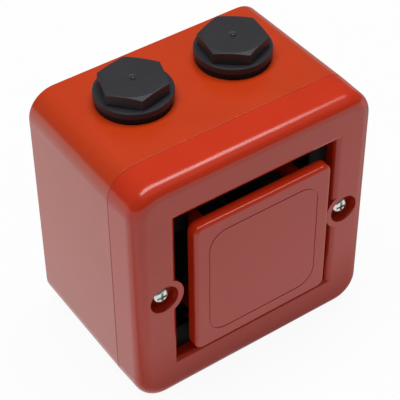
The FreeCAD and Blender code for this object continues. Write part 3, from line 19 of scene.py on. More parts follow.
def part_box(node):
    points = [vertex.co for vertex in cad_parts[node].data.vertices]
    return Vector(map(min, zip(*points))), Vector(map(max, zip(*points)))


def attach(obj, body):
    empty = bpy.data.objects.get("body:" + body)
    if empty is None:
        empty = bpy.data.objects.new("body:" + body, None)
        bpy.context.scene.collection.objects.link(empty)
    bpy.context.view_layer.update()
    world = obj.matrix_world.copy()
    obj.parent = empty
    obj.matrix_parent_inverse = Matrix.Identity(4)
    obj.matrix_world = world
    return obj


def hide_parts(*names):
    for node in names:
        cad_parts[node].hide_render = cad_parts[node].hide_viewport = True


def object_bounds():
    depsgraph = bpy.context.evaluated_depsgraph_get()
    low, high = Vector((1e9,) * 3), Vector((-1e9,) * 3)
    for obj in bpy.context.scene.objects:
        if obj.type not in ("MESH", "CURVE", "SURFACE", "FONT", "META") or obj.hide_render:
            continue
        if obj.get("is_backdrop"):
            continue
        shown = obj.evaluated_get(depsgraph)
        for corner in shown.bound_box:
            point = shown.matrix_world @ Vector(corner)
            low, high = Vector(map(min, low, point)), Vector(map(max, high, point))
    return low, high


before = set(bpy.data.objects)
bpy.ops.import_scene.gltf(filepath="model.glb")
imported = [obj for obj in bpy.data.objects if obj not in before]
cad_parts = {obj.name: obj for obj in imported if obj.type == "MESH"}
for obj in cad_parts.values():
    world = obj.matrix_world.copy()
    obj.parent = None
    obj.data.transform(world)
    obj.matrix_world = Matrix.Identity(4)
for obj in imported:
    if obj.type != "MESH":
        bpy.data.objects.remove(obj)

LOG = logging.getLogger("sounder")
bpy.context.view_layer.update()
Colour = tuple[float, float, float]
Place = tuple[float, float, float]
Vertices = list[bmesh.types.BMVert]

MM = 0.001
MERGE_GAP = 1e-7
NODE_MERGE_GAP = 2e-6
LEVEL_NORMAL = 0.99999
BEVEL_SAMPLES = 6
SHARP_EDGE_GAIN = 6.0

RED = (0.585, 0.044, 0.004)
COVER_RED = (0.605, 0.033, 0.007)
NYLON = (0.036, 0.035, 0.040)
PART_BLACK = (0.02, 0.02, 0.022)
WHITE = (1, 1, 1, 1)


class Axis(Enum):
    """A direction of the object, as the letter of its coordinate."""

    ACROSS = "X"
    DEPTH = "Y"
    UP = "Z"


class Side(Enum):
    """The side of a cable entry, as the photograph shows it."""

    LEFT = "left"
    RIGHT = "right"


@dataclass
class Value:
    """A shader socket that Python's operators work on."""

    shader: "Shader"
    socket: bpy.types.NodeSocket

    def _maths(self, operation: str, *terms: "Value | float") -> "Value":
        """Add one Math node and return its result."""
        return self.shader.node("Math", {"operation": operation}, dict(enumerate(terms)))

    def __add__(self, other: "Value | float") -> "Value":
        """Return the sum."""
        return self._maths("ADD", self, other)

    def __radd__(self, other: float) -> "Value":
        """Return the sum, with the number first."""
        return self._maths("ADD", other, self)

    def __sub__(self, other: "Value | float") -> "Value":
        """Return the difference."""
        return self._maths("SUBTRACT", self, other)

    def __rsub__(self, other: float) -> "Value":
        """Return the difference, with the number first."""
        return self._maths("SUBTRACT", other, self)

    def __mul__(self, other: "Value | float") -> "Value":
        """Return the product."""
        return self._maths("MULTIPLY", self, other)

    def __rmul__(self, other: float) -> "Value":
        """Return the product, with the number first."""
        return self._maths("MULTIPLY", other, self)

    def __abs__(self) -> "Value":
        """Return the value without its sign."""
        return self._maths("ABSOLUTE", self)

    def wave(self) -> "Value":
        """Return a sine wave of the value, from 0 to 1."""
        return self._maths("SINE", self) * 0.5 + 0.5

    def swing(self, width: float) -> "Value":
        """Return a noise from 0 to 1 as a swing of the stated width round 0."""
        return (self - 0.5) * width

    def at_most(self, other: "Value | float") -> "Value":
        """Return the lower of two values."""
        return self._maths("MINIMUM", self, other)

    def at_least(self, other: "Value | float") -> "Value":
        """Return the higher of two values."""
        return self._maths("MAXIMUM", self, other)

    def below(self, edge: float, soft: float) -> "Value":
        """Return 1 under an edge and 0 over it, with a soft change between.

        Args:
            edge: The value at which the result is a half.
            soft: The width of the change.

        Returns:
            The mask.
        """
        spread = {"From Min": edge - soft / 2, "From Max": edge + soft / 2,
                  "To Min": 1.0, "To Max": 0.0}
        return self.shader.node("MapRange", {"clamp": True}, {"Value": self, **spread})


class Shader:
    """A material under construction, round its Principled shader."""

    def __init__(self, name: str, **plain: float | Sequence[float]) -> None:
        """Start a material.

        Args:
            name: The material's name.
            plain: Principled settings that are the same all over, with _ for each space.
        """
        self.material = bpy.data.materials.new(name)
        self.material.use_nodes = True
        self.tree = self.material.node_tree
        self.principled = self.tree.nodes["Principled BSDF"]
        for setting, number in plain.items():
            title = setting.replace("_", " ").title().replace("Ior", "IOR")
            self.principled.inputs[title].default_value = number

    def node(self, kind: str, settings: dict[str, object], sockets: dict[str | int, object],
             output: str | int = 0) -> Value:
        """Add a node.

        Args:
            kind: The node's type, without its ShaderNode prefix.
            settings: The node's own settings, set first.
            sockets: Values or links of its input sockets, by name or number.
            output: The output to return.

        Returns:
            The chosen output.
        """
        made = self.tree.nodes.new("ShaderNode" + kind)
        for setting, choice in settings.items():
            setattr(made, setting, choice)
        for socket, content in sockets.items():
            if isinstance(content, Value):
                self.tree.links.new(content.socket, made.inputs[socket])
            else:
                made.inputs[socket].default_value = content
        return Value(self, made.outputs[output])

    def feed(self, socket: str, value: Value) -> None:
        """Link a value to one of the Principled shader's sockets."""
        self.tree.links.new(value.socket, self.principled.inputs[socket])

    def coordinate(self, axis: Axis) -> Value:
        """Return one of the object coordinates, in metres."""
        place = self.node("TexCoord", {}, {}, "Object")
        return self.node("SeparateXYZ", {}, {0: place}, axis.value)

    def scaled_place(self, scale: Place) -> Value:
        """Return the object coordinates, each times its scale."""
        place = self.node("TexCoord", {}, {}, "Object")
        return self.node("Mapping", {"vector_type": "POINT"}, {"Vector": place, "Scale": scale})

    def noise(self, size: float, detail: float = 2.0, stretch: Place = (1, 1, 1)) -> Value:
        """Return a noise from 0 to 1.

        Args:
            size: The size of its blotches in metres.
            detail: How many finer layers it has.
            stretch: How much coarser it is along each axis.

        Returns:
            The noise.
        """
        spot = self.scaled_place(tuple(1 / (size * each) for each in stretch))
        return self.node("TexNoise", {}, {"Vector": spot, "Scale": 1.0, "Detail": detail})

    def mix(self, share: Value | float, first: Colour | Value, second: Colour | Value) -> Value:
        """Mix two colours and return the result."""
        sockets = {"Factor": share, 6: rgba(first), 7: rgba(second)}
        return self.node("Mix", {"data_type": "RGBA"}, sockets, 2)

    def rounded(self, radius: float) -> Value:
        """Return the surface's normal with its sharp edges rounded."""
        return self.node("Bevel", {"samples": BEVEL_SAMPLES}, {"Radius": radius})

    def relief(self, height: Value, depth: float, edge: float = 0.0) -> None:
        """Feed a bump of a stated depth to the Normal socket.

        Args:
            height: The height from 0 to 1.
            depth: The height's real size in metres.
            edge: The radius at which sharp edges look rounded, in metres.
        """
        sockets = {"Height": height, "Distance": depth, "Strength": 1.0}
        if edge:
            sockets["Normal"] = self.rounded(edge)
        self.feed("Normal", self.node("Bump", {}, sockets))

    def sharp_edge_mask(self, radius: float) -> Value:
        """Return 1 on sharp edges and 0 on flat faces, from the rounded normal."""
        normals = {0: self.rounded(radius), 1: self.node("NewGeometry", {}, {}, "Normal")}
        along = self.node("VectorMath", {"operation": "DOT_PRODUCT"}, normals, 1)
        return ((1 - along) * SHARP_EDGE_GAIN).at_most(1.0)


def rgba(colour: Colour | Value) -> tuple[float, ...] | Value:
    """Give a written colour its alpha, and leave a linked one alone."""
    return colour if isinstance(colour, Value) else (*colour, 1.0)


def toned(colour: Colour, gain: float, lift: float = 0.0) -> Colour:
    """Return a colour made lighter or darker by a gain and a lift."""
    return tuple(min(1.0, part * gain + lift) for part in colour)


@dataclass(frozen=True)
class Finish:
    """A finish that builds the material of its name."""

    name: str

    def build(self) -> bpy.types.Material:
        """Build the material."""
        raise NotImplementedError(self.name)


@dataclass(frozen=True)
class Moulding(Finish):
    """A moulded plastic, with a fine spark-eroded grain, slightly uneven colour and paled sharp
    edges that are a painted highlight.
    """

    colour: Colour
    roughness: float = 0.4
    grain: float = 0.002 * MM
    grain_size: float = 0.35 * MM
    edge: float = 0.12 * MM
    unevenness: float = 0.05
    ior: float = 1.5
    blotch_size: float = 14 * MM
    streak_size: float = 4 * MM
    streak_gloss: float = 0.05
    # Share and tone of the painted highlight on sharp edges.
    edge_highlight: float = 0.35
    edge_highlight_tone: tuple[float, float] = (0.8, 0.06)

    def build(self) -> bpy.types.Material:
        """Build the material."""
        shader = Shader(self.name, ior=self.ior)
        deep = toned(self.colour, 1 - 2 * self.unevenness)
        pale = toned(self.colour, 1 + self.unevenness)
        base = shader.mix(shader.noise(self.blotch_size, detail=3.0), deep, pale)
        # Sharp edges are paled towards a lighter tone: a painted edge highlight.
        painted_highlight_share = shader.sharp_edge_mask(self.edge) * self.edge_highlight
        shader.feed("Base Color", shader.mix(painted_highlight_share, base, toned(self.colour, *self.edge_highlight_tone)))
        streaks = shader.noise(self.streak_size, detail=4.0)
        shader.feed("Roughness", self.roughness + streaks.swing(self.streak_gloss))
        shader.relief(self.height(shader), self.grain, self.edge)
        return shader.material

    def height(self, shader: Shader) -> Value:
        """Return the height of the surface's grain."""
        return shader.noise(self.grain_size, detail=3.0)


@dataclass(frozen=True)
class CaseMoulding(Moulding):
    """The housing's plastic, with the lines that the mould's slide left round the entries."""

    slide_half_width: float = 31.6 * MM
    slide_back: float = -7.7 * MM
    top: float = 45.5 * MM
    line: float = 0.16 * MM
    line_share: float = 8.0
    soft: float = 0.1 * MM

    def height(self, shader: Shader) -> Value:
        """Return the grain with the slide's lines sunk into the top."""
        across = abs(shader.coordinate(Axis.ACROSS))
        depth = shader.coordinate(Axis.DEPTH)
        on_top = 1 - shader.coordinate(Axis.UP).below(self.top, self.soft)
        side = abs(across - self.slide_half_width).below(self.line, self.line)
        side = side * depth.below(self.slide_back, self.soft)
        back = abs(depth - self.slide_back).below(self.line, self.line)
        back = back * across.below(self.slide_half_width, self.soft)
        return super().height(shader) - side.at_least(back) * on_top * self.line_share


@dataclass(frozen=True)
class Plated(Finish):
    """A bright metal with fine tool marks and duller clouds."""

    colour: Colour
    roughness: float = 0.24
    marks: float = 0.004 * MM
    lay: Place = (1, 1, 1)
    edge: float = 0.08 * MM
    cloud_size: float = 1.6 * MM
    cloud_gloss: float = 0.16
    mark_size: float = 0.12 * MM
    mark_gloss: float = 0.1
    dulling: float = 0.72

    def build(self) -> bpy.types.Material:
        """Build the material."""
        shader = Shader(self.name, metallic=1.0)
        clouds = shader.noise(self.cloud_size, detail=4.0)
        shader.feed("Base Color", shader.mix(clouds, toned(self.colour, self.dulling), self.colour))
        lines = shader.noise(self.mark_size, stretch=self.lay)
        dull = self.roughness + clouds.swing(self.cloud_gloss) + lines.swing(self.mark_gloss)
        shader.feed("Roughness", dull)
        shader.relief(lines, self.marks, self.edge)
        return shader.material


@dataclass(frozen=True)
class Knurled(Plated):
    """Turned brass with a straight knurl round an axis along the depth."""

    cloud_size: float = 0.4 * MM
    cloud_gloss: float = 0.12
    dulling: float = 0.6
    centre: float = 36.25 * MM
    teeth: int = 36
    tooth_depth: float = 0.12 * MM

    def build(self) -> bpy.types.Material:
        """Build the material."""
        shader = Shader(self.name, metallic=1.0)
        across = abs(shader.coordinate(Axis.ACROSS)) - self.centre
        angle = shader.node("Math", {"operation": "ARCTAN2"},
                            {0: shader.coordinate(Axis.UP), 1: across})
        ridges = (angle * float(self.teeth)).wave()
        # The colour is darker in the knurl's valleys: painted shade in the grooves.
        shader.feed("Base Color", shader.mix(ridges, toned(self.colour, self.dulling), self.colour))
        clouds = shader.noise(self.cloud_size)
        shader.feed("Roughness", self.roughness + clouds * self.cloud_gloss)
        shader.relief(ridges, self.tooth_depth, self.edge)
        return shader.material


@dataclass(frozen=True)
class Elastomer(Finish):
    """A moulded rubber with a dusty bloom."""

    colour: Colour
    roughness: float = 0.62
    ior: float = 1.35
    bloom_size: float = 2.5 * MM
    bloom_gloss: float = 0.2
    dust: tuple[float, float] = (1.5, 0.004)
    grain: float = 0.01 * MM
    grain_size: float = 0.25 * MM
    edge: float = 0.15 * MM

    def build(self) -> bpy.types.Material:
        """Build the material."""
        shader = Shader(self.name, ior=self.ior)
        bloom = shader.noise(self.bloom_size, detail=5.0)
        shader.feed("Base Color", shader.mix(bloom, self.colour, toned(self.colour, *self.dust)))
        shader.feed("Roughness", self.roughness + bloom.swing(self.bloom_gloss))
        shader.relief(shader.noise(self.grain_size, detail=4.0), self.grain, self.edge)
        return shader.material


@dataclass(frozen=True)
class Wound(Finish):
    """Enamelled copper wire laid in turns along the depth."""

    colour: Colour
    wire: float = 0.3 * MM
    relief_share: float = 0.4
    enamel: float = 0.9
    shade: float = 0.3
    roughness: float = 0.26
    cloud_size: float = 0.8 * MM
    cloud_gloss: float = 0.14

    def build(self) -> bpy.types.Material:
        """Build the material."""
        shader = Shader(self.name, metallic=self.enamel)
        turns = (shader.coordinate(Axis.DEPTH) * (2 * math.pi / self.wire)).wave()
        shader.feed("Base Color", shader.mix(turns, toned(self.colour, self.shade), self.colour))
        clouds = shader.noise(self.cloud_size)
        shader.feed("Roughness", self.roughness + clouds * self.cloud_gloss)
        shader.relief(turns, self.wire * self.relief_share)
        return shader.material


@dataclass(frozen=True)
class BoardLacquer(Finish):
    """Green lacquer over copper tracks on a glass-cloth board."""

    bare: Colour = (0.010, 0.085, 0.030)
    over_copper: Colour = (0.025, 0.17, 0.055)
    cloth: Colour = (0.03, 0.14, 0.06)
    cloth_share: float = 0.25
    cloth_size: float = 0.5 * MM
    pitch: float = 5.5 * MM
    disorder: float = 0.55
    track: float = 0.055
    track_soft: float = 0.03
    track_height: float = 0.035 * MM
    roughness: float = 0.28
    cloth_gloss: float = 0.08
    edge: float = 0.1 * MM
    ior: float = 1.52
    coat: float = 0.35
    coat_roughness: float = 0.12

    def build(self) -> bpy.types.Material:
        """Build the material."""
        shader = Shader(self.name, ior=self.ior, coat_weight=self.coat,
                        coat_roughness=self.coat_roughness)
        spot = shader.scaled_place((1 / self.pitch, 0.0, 1 / self.pitch))
        cells = {"Vector": spot, "Scale": 1.0, "Randomness": self.disorder}
        border = shader.node("TexVoronoi", {"feature": "DISTANCE_TO_EDGE"}, cells)
        tracks = border.below(self.track, self.track_soft)
        weave = shader.noise(self.cloth_size, detail=1.0)
        base = shader.mix(tracks, self.bare, self.over_copper)
        shader.feed("Base Color", shader.mix(weave * self.cloth_share, base, self.cloth))
        shader.feed("Roughness", self.roughness + weave * self.cloth_gloss)
        shader.relief(tracks, self.track_height, self.edge)
        return shader.material


@dataclass(frozen=True)
class Ferrite(Finish):
    """Sintered ceramic, ground on its faces and pitted."""

    colour: Colour = (0.055, 0.055, 0.06)
    roughness: float = 0.42
    pit_size: float = 0.6 * MM
    pit_share: float = 0.42
    pit_soft: float = 0.08
    pit_depth: float = 0.04 * MM
    pit_tone: float = 0.45
    pit_dulling: float = 0.3
    edge: float = 0.2 * MM
    ior: float = 1.8

    def build(self) -> bpy.types.Material:
        """Build the material."""
        shader = Shader(self.name, ior=self.ior)
        pits = shader.noise(self.pit_size, detail=6.0).below(self.pit_share, self.pit_soft)
        # The pits take a darker colour: painted shade in the recesses.
        shader.feed("Base Color", shader.mix(pits, self.colour, toned(self.colour, self.pit_tone)))
        shader.feed("Roughness", self.roughness + pits * self.pit_dulling)
        shader.relief(1 - pits, self.pit_depth, self.edge)
        return shader.material


@dataclass(frozen=True)
class Film(Finish):
    """Thin amber film with a gloss coat and faint clouds."""

    colour: Colour = (0.62, 0.31, 0.06)
    roughness: float = 0.16
    cloud_size: float = 6 * MM
    cloud_gloss: float = 0.1
    cloud_tone: float = 1.2
    ior: float = 1.6
    coat: float = 0.5

    def build(self) -> bpy.types.Material:
        """Build the material."""
        shader = Shader(self.name, ior=self.ior, coat_weight=self.coat)
        clouds = shader.noise(self.cloud_size)
        pale = toned(self.colour, self.cloud_tone)
        shader.feed("Base Color", shader.mix(clouds, self.colour, pale))
        shader.feed("Roughness", self.roughness + clouds * self.cloud_gloss)
        return shader.material


@dataclass(frozen=True)
class BandedSleeve(Finish):
    """The dark sleeve of one or more parts in a row, each with one pale band across it."""

    sleeve: Colour
    band: Colour
    axis: Axis
    first: float
    half_width: float
    pitch: float = 0.0
    count: int = 1
    band_soft: float = 0.08 * MM
    roughness: float = 0.3
    cloud_size: float = 1 * MM
    cloud_gloss: float = 0.1
    grain: float = 0.006 * MM
    grain_size: float = 0.3 * MM
    edge: float = 0.1 * MM
    ior: float = 1.5

    def build(self) -> bpy.types.Material:
        """Build the material."""
        shader = Shader(self.name, ior=self.ior)
        along = shader.coordinate(self.axis)
        centres = (self.first + number * self.pitch for number in range(self.count))
        marks = (abs(along - centre).below(self.half_width, self.band_soft) for centre in centres)
        bands = reduce(Value.at_least, marks)
        shader.feed("Base Color", shader.mix(bands, self.sleeve, self.band))
        clouds = shader.noise(self.cloud_size)
        shader.feed("Roughness", self.roughness + clouds * self.cloud_gloss)
        shader.relief(shader.noise(self.grain_size, detail=3.0), self.grain, self.edge)
        return shader.material


@dataclass
class Shelf:
    """Every finish of the object, built once and handed out by name."""

    built: dict[str, bpy.types.Material] = field(default_factory=dict)

    def stock(self) -> None:
        """Build the finishes that need no measure of the solids."""
        for finish in (
            CaseMoulding("case_plastic", RED, 0.24, ior=1.61),
            Moulding("cover_plastic", COVER_RED, 0.2, ior=1.5),
            Moulding("plate_plastic", COVER_RED, 0.2, ior=1.5),
            Moulding("plug_nylon", NYLON, 0.34, grain=0.004 * MM, grain_size=0.2 * MM,
                     edge=0.18 * MM, unevenness=0.1, ior=1.33),
            # Near-black and barely glossy: the horn's own black plastic, darkened further as
            # painted shade for the deep gaps round the plate.
            Moulding("horn_plastic", (0.007, 0.005, 0.005), 0.6, ior=1.17),
            Moulding("part_plastic", PART_BLACK, 0.45),
            Moulding("part_blue", (0.02, 0.08, 0.36), 0.3),
            Moulding("part_white", (0.72, 0.72, 0.68), 0.35),
            Moulding("terminal_plastic", (0.02, 0.22, 0.08), 0.36),
            Moulding("wire_sleeve", (0.5, 0.03, 0.02), 0.38),
            Elastomer("seal_rubber", (0.008, 0.008, 0.009)),
            Plated("zinc_plate", (0.80, 0.80, 0.77), 0.2),
            Plated("steel_plate", (0.55, 0.55, 0.54), 0.3, marks=0.01 * MM, lay=(1.0, 12.0, 1.0)),
            Plated("tinned", (0.74, 0.74, 0.72), 0.28),
            Knurled("insert_brass", (0.78, 0.56, 0.22), 0.28),
            Wound("coil_wire", (0.80, 0.36, 0.14)),
            Ferrite("magnet_ferrite"),
            Film("film_amber"),
            BoardLacquer("board_lacquer"),
        ):
            self.add(finish)

    def add(self, finish: Finish) -> None:
        """Build one finish."""
        self.built[finish.name] = finish.build()

    def dress(self, finish: str, *nodes: str) -> None:
        """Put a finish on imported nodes."""
        for node in nodes:
            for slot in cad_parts[node].material_slots:
                slot.material = self.built[finish]
            LOG.info("%s: %s", node, finish)


@dataclass(frozen=True)
class Thread:
    """A screw thread, with the shape of its ridge in shares of the pitch.

    Its root and crest are radii, and its crest fades over the taper at the low end. The ridge is
    sunk into the core by a share of its own height, and each end keeps some room.
    """

    root: float
    crest: float
    pitch: float
    taper: float
    half_foot: float = 0.44
    half_crest: float = 0.08
    sunk: float = 0.15
    end_room: float = 0.45


@dataclass
class Workpiece:
    """A mesh under construction, which becomes a piece of the object."""

    name: str
    mesh: bmesh.types.BMesh = field(default_factory=bmesh.new)

    def made_since(self, before: set[bmesh.types.BMVert]) -> Vertices:
        """Return the vertices that weren't there before."""
        return [vertex for vertex in self.mesh.verts if vertex not in before]

    def turned(self, outline: Sequence[tuple[float, float]], steps: int = 48) -> Vertices:
        """Turn an outline round the Z axis.

        Args:
            outline: Radius and height of each corner, in metres.
            steps: How many faces go round.

        Returns:
            The new vertices.
        """
        before = set(self.mesh.verts)
        corners = [self.mesh.verts.new((radius, 0, height)) for radius, height in outline]
        edges = [self.mesh.edges.new(pair) for pair in zip(corners, corners[1:])]
        bmesh.ops.spin(self.mesh, geom=corners + edges, cent=(0, 0, 0), axis=(0, 0, 1),
                       angle=2 * math.pi, steps=steps, use_merge=True)
        bmesh.ops.remove_doubles(self.mesh, verts=self.made_since(before), dist=MERGE_GAP)
        return self.made_since(before)

    def ridge(self, thread: Thread, low: float, high: float, steps: int = 40) -> Vertices:
        """Wind a thread's ridge round the Z axis.

        Args:
            thread: The thread.
            low: The height at which it starts.
            high: The height at which it ends.
            steps: How many faces go round.

        Returns:
            The new vertices.
        """
        before = set(self.mesh.verts)
        root, crest, pitch = thread.root, thread.crest, thread.pitch
        inside = root - thread.sunk * (crest - root)
        profile = ((inside, -thread.half_foot), (crest, -thread.half_crest),
                   (crest, thread.half_crest), (inside, thread.half_foot))
        start = low + thread.end_room * pitch
        corners = [self.mesh.verts.new((radius, 0, start + share * pitch))
                   for radius, share in profile]
        edges = [self.mesh.edges.new((corners[number - 1], corners[number]))
                 for number in range(len(corners))]
        self.mesh.faces.new(corners)
        turns = (high - start) / pitch - thread.end_room
        count = round(turns * steps)
        swept = bmesh.ops.spin(self.mesh, geom=corners + edges, cent=(0, 0, 0), axis=(0, 0, 1),
                               dvec=(0, 0, pitch / steps), angle=2 * math.pi * count / steps,
                               steps=count)
        last = [item for item in swept["geom_last"] if isinstance(item, bmesh.types.BMVert)]
        bmesh.ops.contextual_create(self.mesh, geom=last)
        fresh = self.made_since(before)
        for vertex in fresh:
            radius = math.hypot(vertex.co.x, vertex.co.y)
            fade = min(1.0, max(0.0, (vertex.co.z - low) / thread.taper))
            limit = root + (crest - root) * fade
            if radius > limit:
                vertex.co.xy *= max(inside, limit) / radius
        return fresh

    def move(self, vertices: Vertices, matrix: Matrix) -> None:
        """Apply a matrix to some vertices."""
        bmesh.ops.transform(self.mesh, matrix=matrix, verts=vertices)

    def copy_node(self, node: str) -> None:
        """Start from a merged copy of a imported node's mesh."""
        self.mesh.from_mesh(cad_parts[node].data)
        bmesh.ops.remove_doubles(self.mesh, verts=self.mesh.verts[:], dist=NODE_MERGE_GAP)

    def cut(self, place: Place, normal: Place) -> None:
        """Cut away what lies on the normal's side of a plane, and close the cut."""
        geometry = self.mesh.verts[:] + self.mesh.edges[:] + self.mesh.faces[:]
        result = bmesh.ops.bisect_plane(self.mesh, geom=geometry, plane_co=place,
                                        plane_no=normal, clear_outer=True, dist=MERGE_GAP)
        rim = [item for item in result["geom_cut"] if isinstance(item, bmesh.types.BMEdge)]
        bmesh.ops.triangle_fill(self.mesh, edges=rim, use_beauty=True)

    def finish(self, material: bpy.types.Material, body: str, slot: str,
               smooth: float = 35.0) -> bpy.types.Object:
        """Make the mesh a piece that rides on a body, with its level faces shaded flat.

        Args:
            material: Its finish.
            body: The body that it rides on.
            slot: The record's material slot; not used.
            smooth: The largest angle in degrees across which it is shaded smooth.

        Returns:
            The object.
        """
        bmesh.ops.recalc_face_normals(self.mesh, faces=self.mesh.faces[:])
        limit = math.radians(smooth)
        for edge in self.mesh.edges:
            level = {abs(face.normal.z) > LEVEL_NORMAL for face in edge.link_faces}
            edge.smooth = len(level) == 1 and edge.calc_face_angle(math.pi) < limit
        for face in self.mesh.faces:
            face.smooth = True
        data = bpy.data.meshes.new(self.name)
        self.mesh.to_mesh(data)
        self.mesh.free()
        data.materials.append(material)
        made = bpy.data.objects.new(self.name, data)
        bpy.context.scene.collection.objects.link(made)
        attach(made, body)
        LOG.info("%s: %d faces on %s", self.name, len(data.polygons), body)
        return made


@dataclass
class Case:
    """The housing with its seal and its brass inserts."""

    shelf: Shelf

    def build(self) -> None:
        """Dress the housing."""
        self.shelf.dress("case_plastic", "rear_housing")
        self.shelf.dress("seal_rubber", "housing_seal")
        self.shelf.dress("insert_brass", "screw_inserts")


@dataclass
class Cover:
    """The front cover, the deflector plate before its mouth and the two long screws."""

    shelf: Shelf
    spacing: float = 72.5 * MM
    thread: Thread = Thread(1.3 * MM, 1.69 * MM, 0.6 * MM, 0.9 * MM)
    threaded: float = 12.0 * MM
    lead: float = 0.3 * MM
    point_radius: float = 0.774 * MM
    point_length: float = 0.5 * MM
    steps: int = 24
    thread_steps: int = 20

    def build(self) -> None:
        """Dress the cover and thread its screws."""
        self.shelf.dress("cover_plastic", "front_cover")
        self.shelf.dress("plate_plastic", "deflector_plate")
        self.shelf.dress("zinc_plate", "cover_screw_washers", "deflector_screws", "horn_screws")
        self.screws()

    def screws(self) -> None:
        """Make the cover screws from their packed heads and a threaded end."""
        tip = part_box("cover_screws")[1][1]
        work = Workpiece("cover_screw_pair")
        work.copy_node("cover_screws")
        work.cut((0, tip - self.threaded, 0), (0, 1, 0))
        root = self.thread.root
        for side in (-1, 1):
            fresh = work.turned([(0, 0), (self.point_radius, 0), (root, self.point_length),
                                 (root, self.threaded), (0, self.threaded)], self.steps)
            fresh += work.ridge(self.thread, self.lead, self.threaded, self.thread_steps)
            work.move(fresh, Matrix.Translation((side * self.spacing / 2, tip, 0))
                      @ Matrix.Rotation(math.pi / 2, 4, "X"))
        made = work.finish(self.shelf.built["zinc_plate"], "cover", "zinc_steel")
        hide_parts("cover_screws")


@dataclass
class EntryPlug:
    """A stopping plug with its threaded shank, and its sealing washer."""

    shelf: Shelf
    side: Side
    thread: Thread = Thread(9.15 * MM, 9.96 * MM, 1.5 * MM, 1.2 * MM)
    core: float = 7.6 * MM
    chamfer: float = 1.2 * MM
    lead: float = 0.1 * MM
    overlap: float = 0.02 * MM
    web: float = 0.3 * MM

    def build(self) -> None:
        """Dress the washer and thread the plug."""
        washer = self.side.value + "_sealing_washer"
        plug = self.side.value + "_stopping_plug"
        self.shelf.dress("seal_rubber", washer)
        low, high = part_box(plug)
        middle = (low[0] + high[0]) / 2, (low[1] + high[1]) / 2
        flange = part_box(washer)[1][2]
        work = Workpiece(self.side.value + "_plug_threaded")
        work.copy_node(plug)
        work.cut((0, 0, flange + self.overlap), (0, 0, -1))
        length = flange - low[2]
        hollow = length + self.overlap
        top = hollow + self.web
        root, bevel = self.thread.root, self.chamfer / 2
        fresh = work.turned([(0, hollow), (self.core, hollow), (self.core, 0), (root - bevel, 0),
                             (root, bevel), (root, top), (0, top)])
        fresh += work.ridge(self.thread, self.lead, length)
        work.move(fresh, Matrix.Translation((*middle, low[2])))
        made = work.finish(self.shelf.built["plug_nylon"], self.side.value + "_plug",
                           "nylon_black", smooth=10)
        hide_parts(plug)


@dataclass
class Driver:
    """The horn moulding with the compression driver behind it."""

    shelf: Shelf

    def build(self) -> None:
        """Dress the horn and the driver."""
        dress = self.shelf.dress
        dress("horn_plastic", "horn_flare", "phase_plug", "diaphragm_clamp")
        dress("seal_rubber", "driver_seal_ring")
        dress("film_amber", "diaphragm")
        dress("coil_wire", "voice_coil")
        dress("steel_plate", "top_plate", "yoke")
        dress("magnet_ferrite", "magnet_ring")
        dress("zinc_plate", "driver_screws")
        dress("tinned", "driver_terminals")
        dress("wire_sleeve", "driver_leads")


@dataclass
class Circuit:
    """The board with the parts that stand on it."""

    shelf: Shelf
    sliders: int = 5
    diodes: int = 4
    diode_pitch: float = 10.6 * MM
    diode_band_place: float = 1.5 * MM
    diode_band: float = 0.35 * MM
    can_band: float = 0.55 * MM
    wire: float = 0.42 * MM
    cheek: float = 0.05 * MM
    round_steps: int = 32
    wire_steps: int = 8

    def build(self) -> None:
        """Dress the board and wind the inductor."""
        dress = self.shelf.dress
        sliders = (f"tone_slider_{number + 1}" for number in range(self.sliders))
        dress("board_lacquer", "circuit_board")
        dress("zinc_plate", "board_screws", "terminal_screws")
        dress("terminal_plastic", "terminal_block")
        dress("part_blue", "tone_switch", "volume_trimmer")
        dress("part_white", "volume_rotor", *sliders)
        dress("part_plastic", "tone_chip", "output_transistor")
        dress("tinned", "chip_pins", "transistor_legs", "transistor_tab")
        dress("magnet_ferrite", "inductor_core")
        self.sleeves()
        self.winding()

    def sleeves(self) -> None:
        """Give the diodes and the capacitors their banded sleeves."""
        low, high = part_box("rectifier_diodes")
        spread = (self.diodes - 1) * self.diode_pitch
        first = low[0] + (high[0] - low[0] - spread) / 2 + self.diode_band_place
        self.shelf.add(BandedSleeve("diode_sleeve", PART_BLACK, (0.6, 0.6, 0.58), Axis.ACROSS,
                                    first, self.diode_band, self.diode_pitch, self.diodes))
        self.shelf.dress("diode_sleeve", "rectifier_diodes")
        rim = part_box("capacitors")[1][1]
        self.shelf.add(BandedSleeve("can_sleeve", (0.015, 0.02, 0.05), (0.62, 0.62, 0.60),
                                    Axis.DEPTH, rim, self.can_band))
        self.shelf.dress("can_sleeve", "capacitors")

    def winding(self) -> None:
        """Wind the inductor's wire on its spool."""
        low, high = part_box("inductor_winding")
        middle = (low[0] + high[0]) / 2, (low[2] + high[2]) / 2
        outside = (high[0] - low[0]) / 2
        length = high[1] - low[1]
        spool = outside - self.wire
        radius = self.wire / 2
        work = Workpiece("inductor_wire")
        fresh = work.turned([(0, self.cheek), (spool, self.cheek), (spool, length - self.cheek),
                             (0, length - self.cheek)], self.round_steps)
        angles = [step * 2 * math.pi / self.wire_steps for step in range(self.wire_steps + 1)]
        for number in range(1, int(length / self.wire)):
            ring = [(outside - radius + radius * math.cos(angle),
                     number * self.wire + radius * math.sin(angle)) for angle in angles]
            fresh += work.turned(ring, self.round_steps)
        work.move(fresh, Matrix.Translation((middle[0], high[1], middle[1]))
                  @ Matrix.Rotation(math.pi / 2, 4, "X"))
        made = work.finish(self.shelf.built["coil_wire"], "cover", "coil_copper", smooth=60)
        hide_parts("inductor_winding")


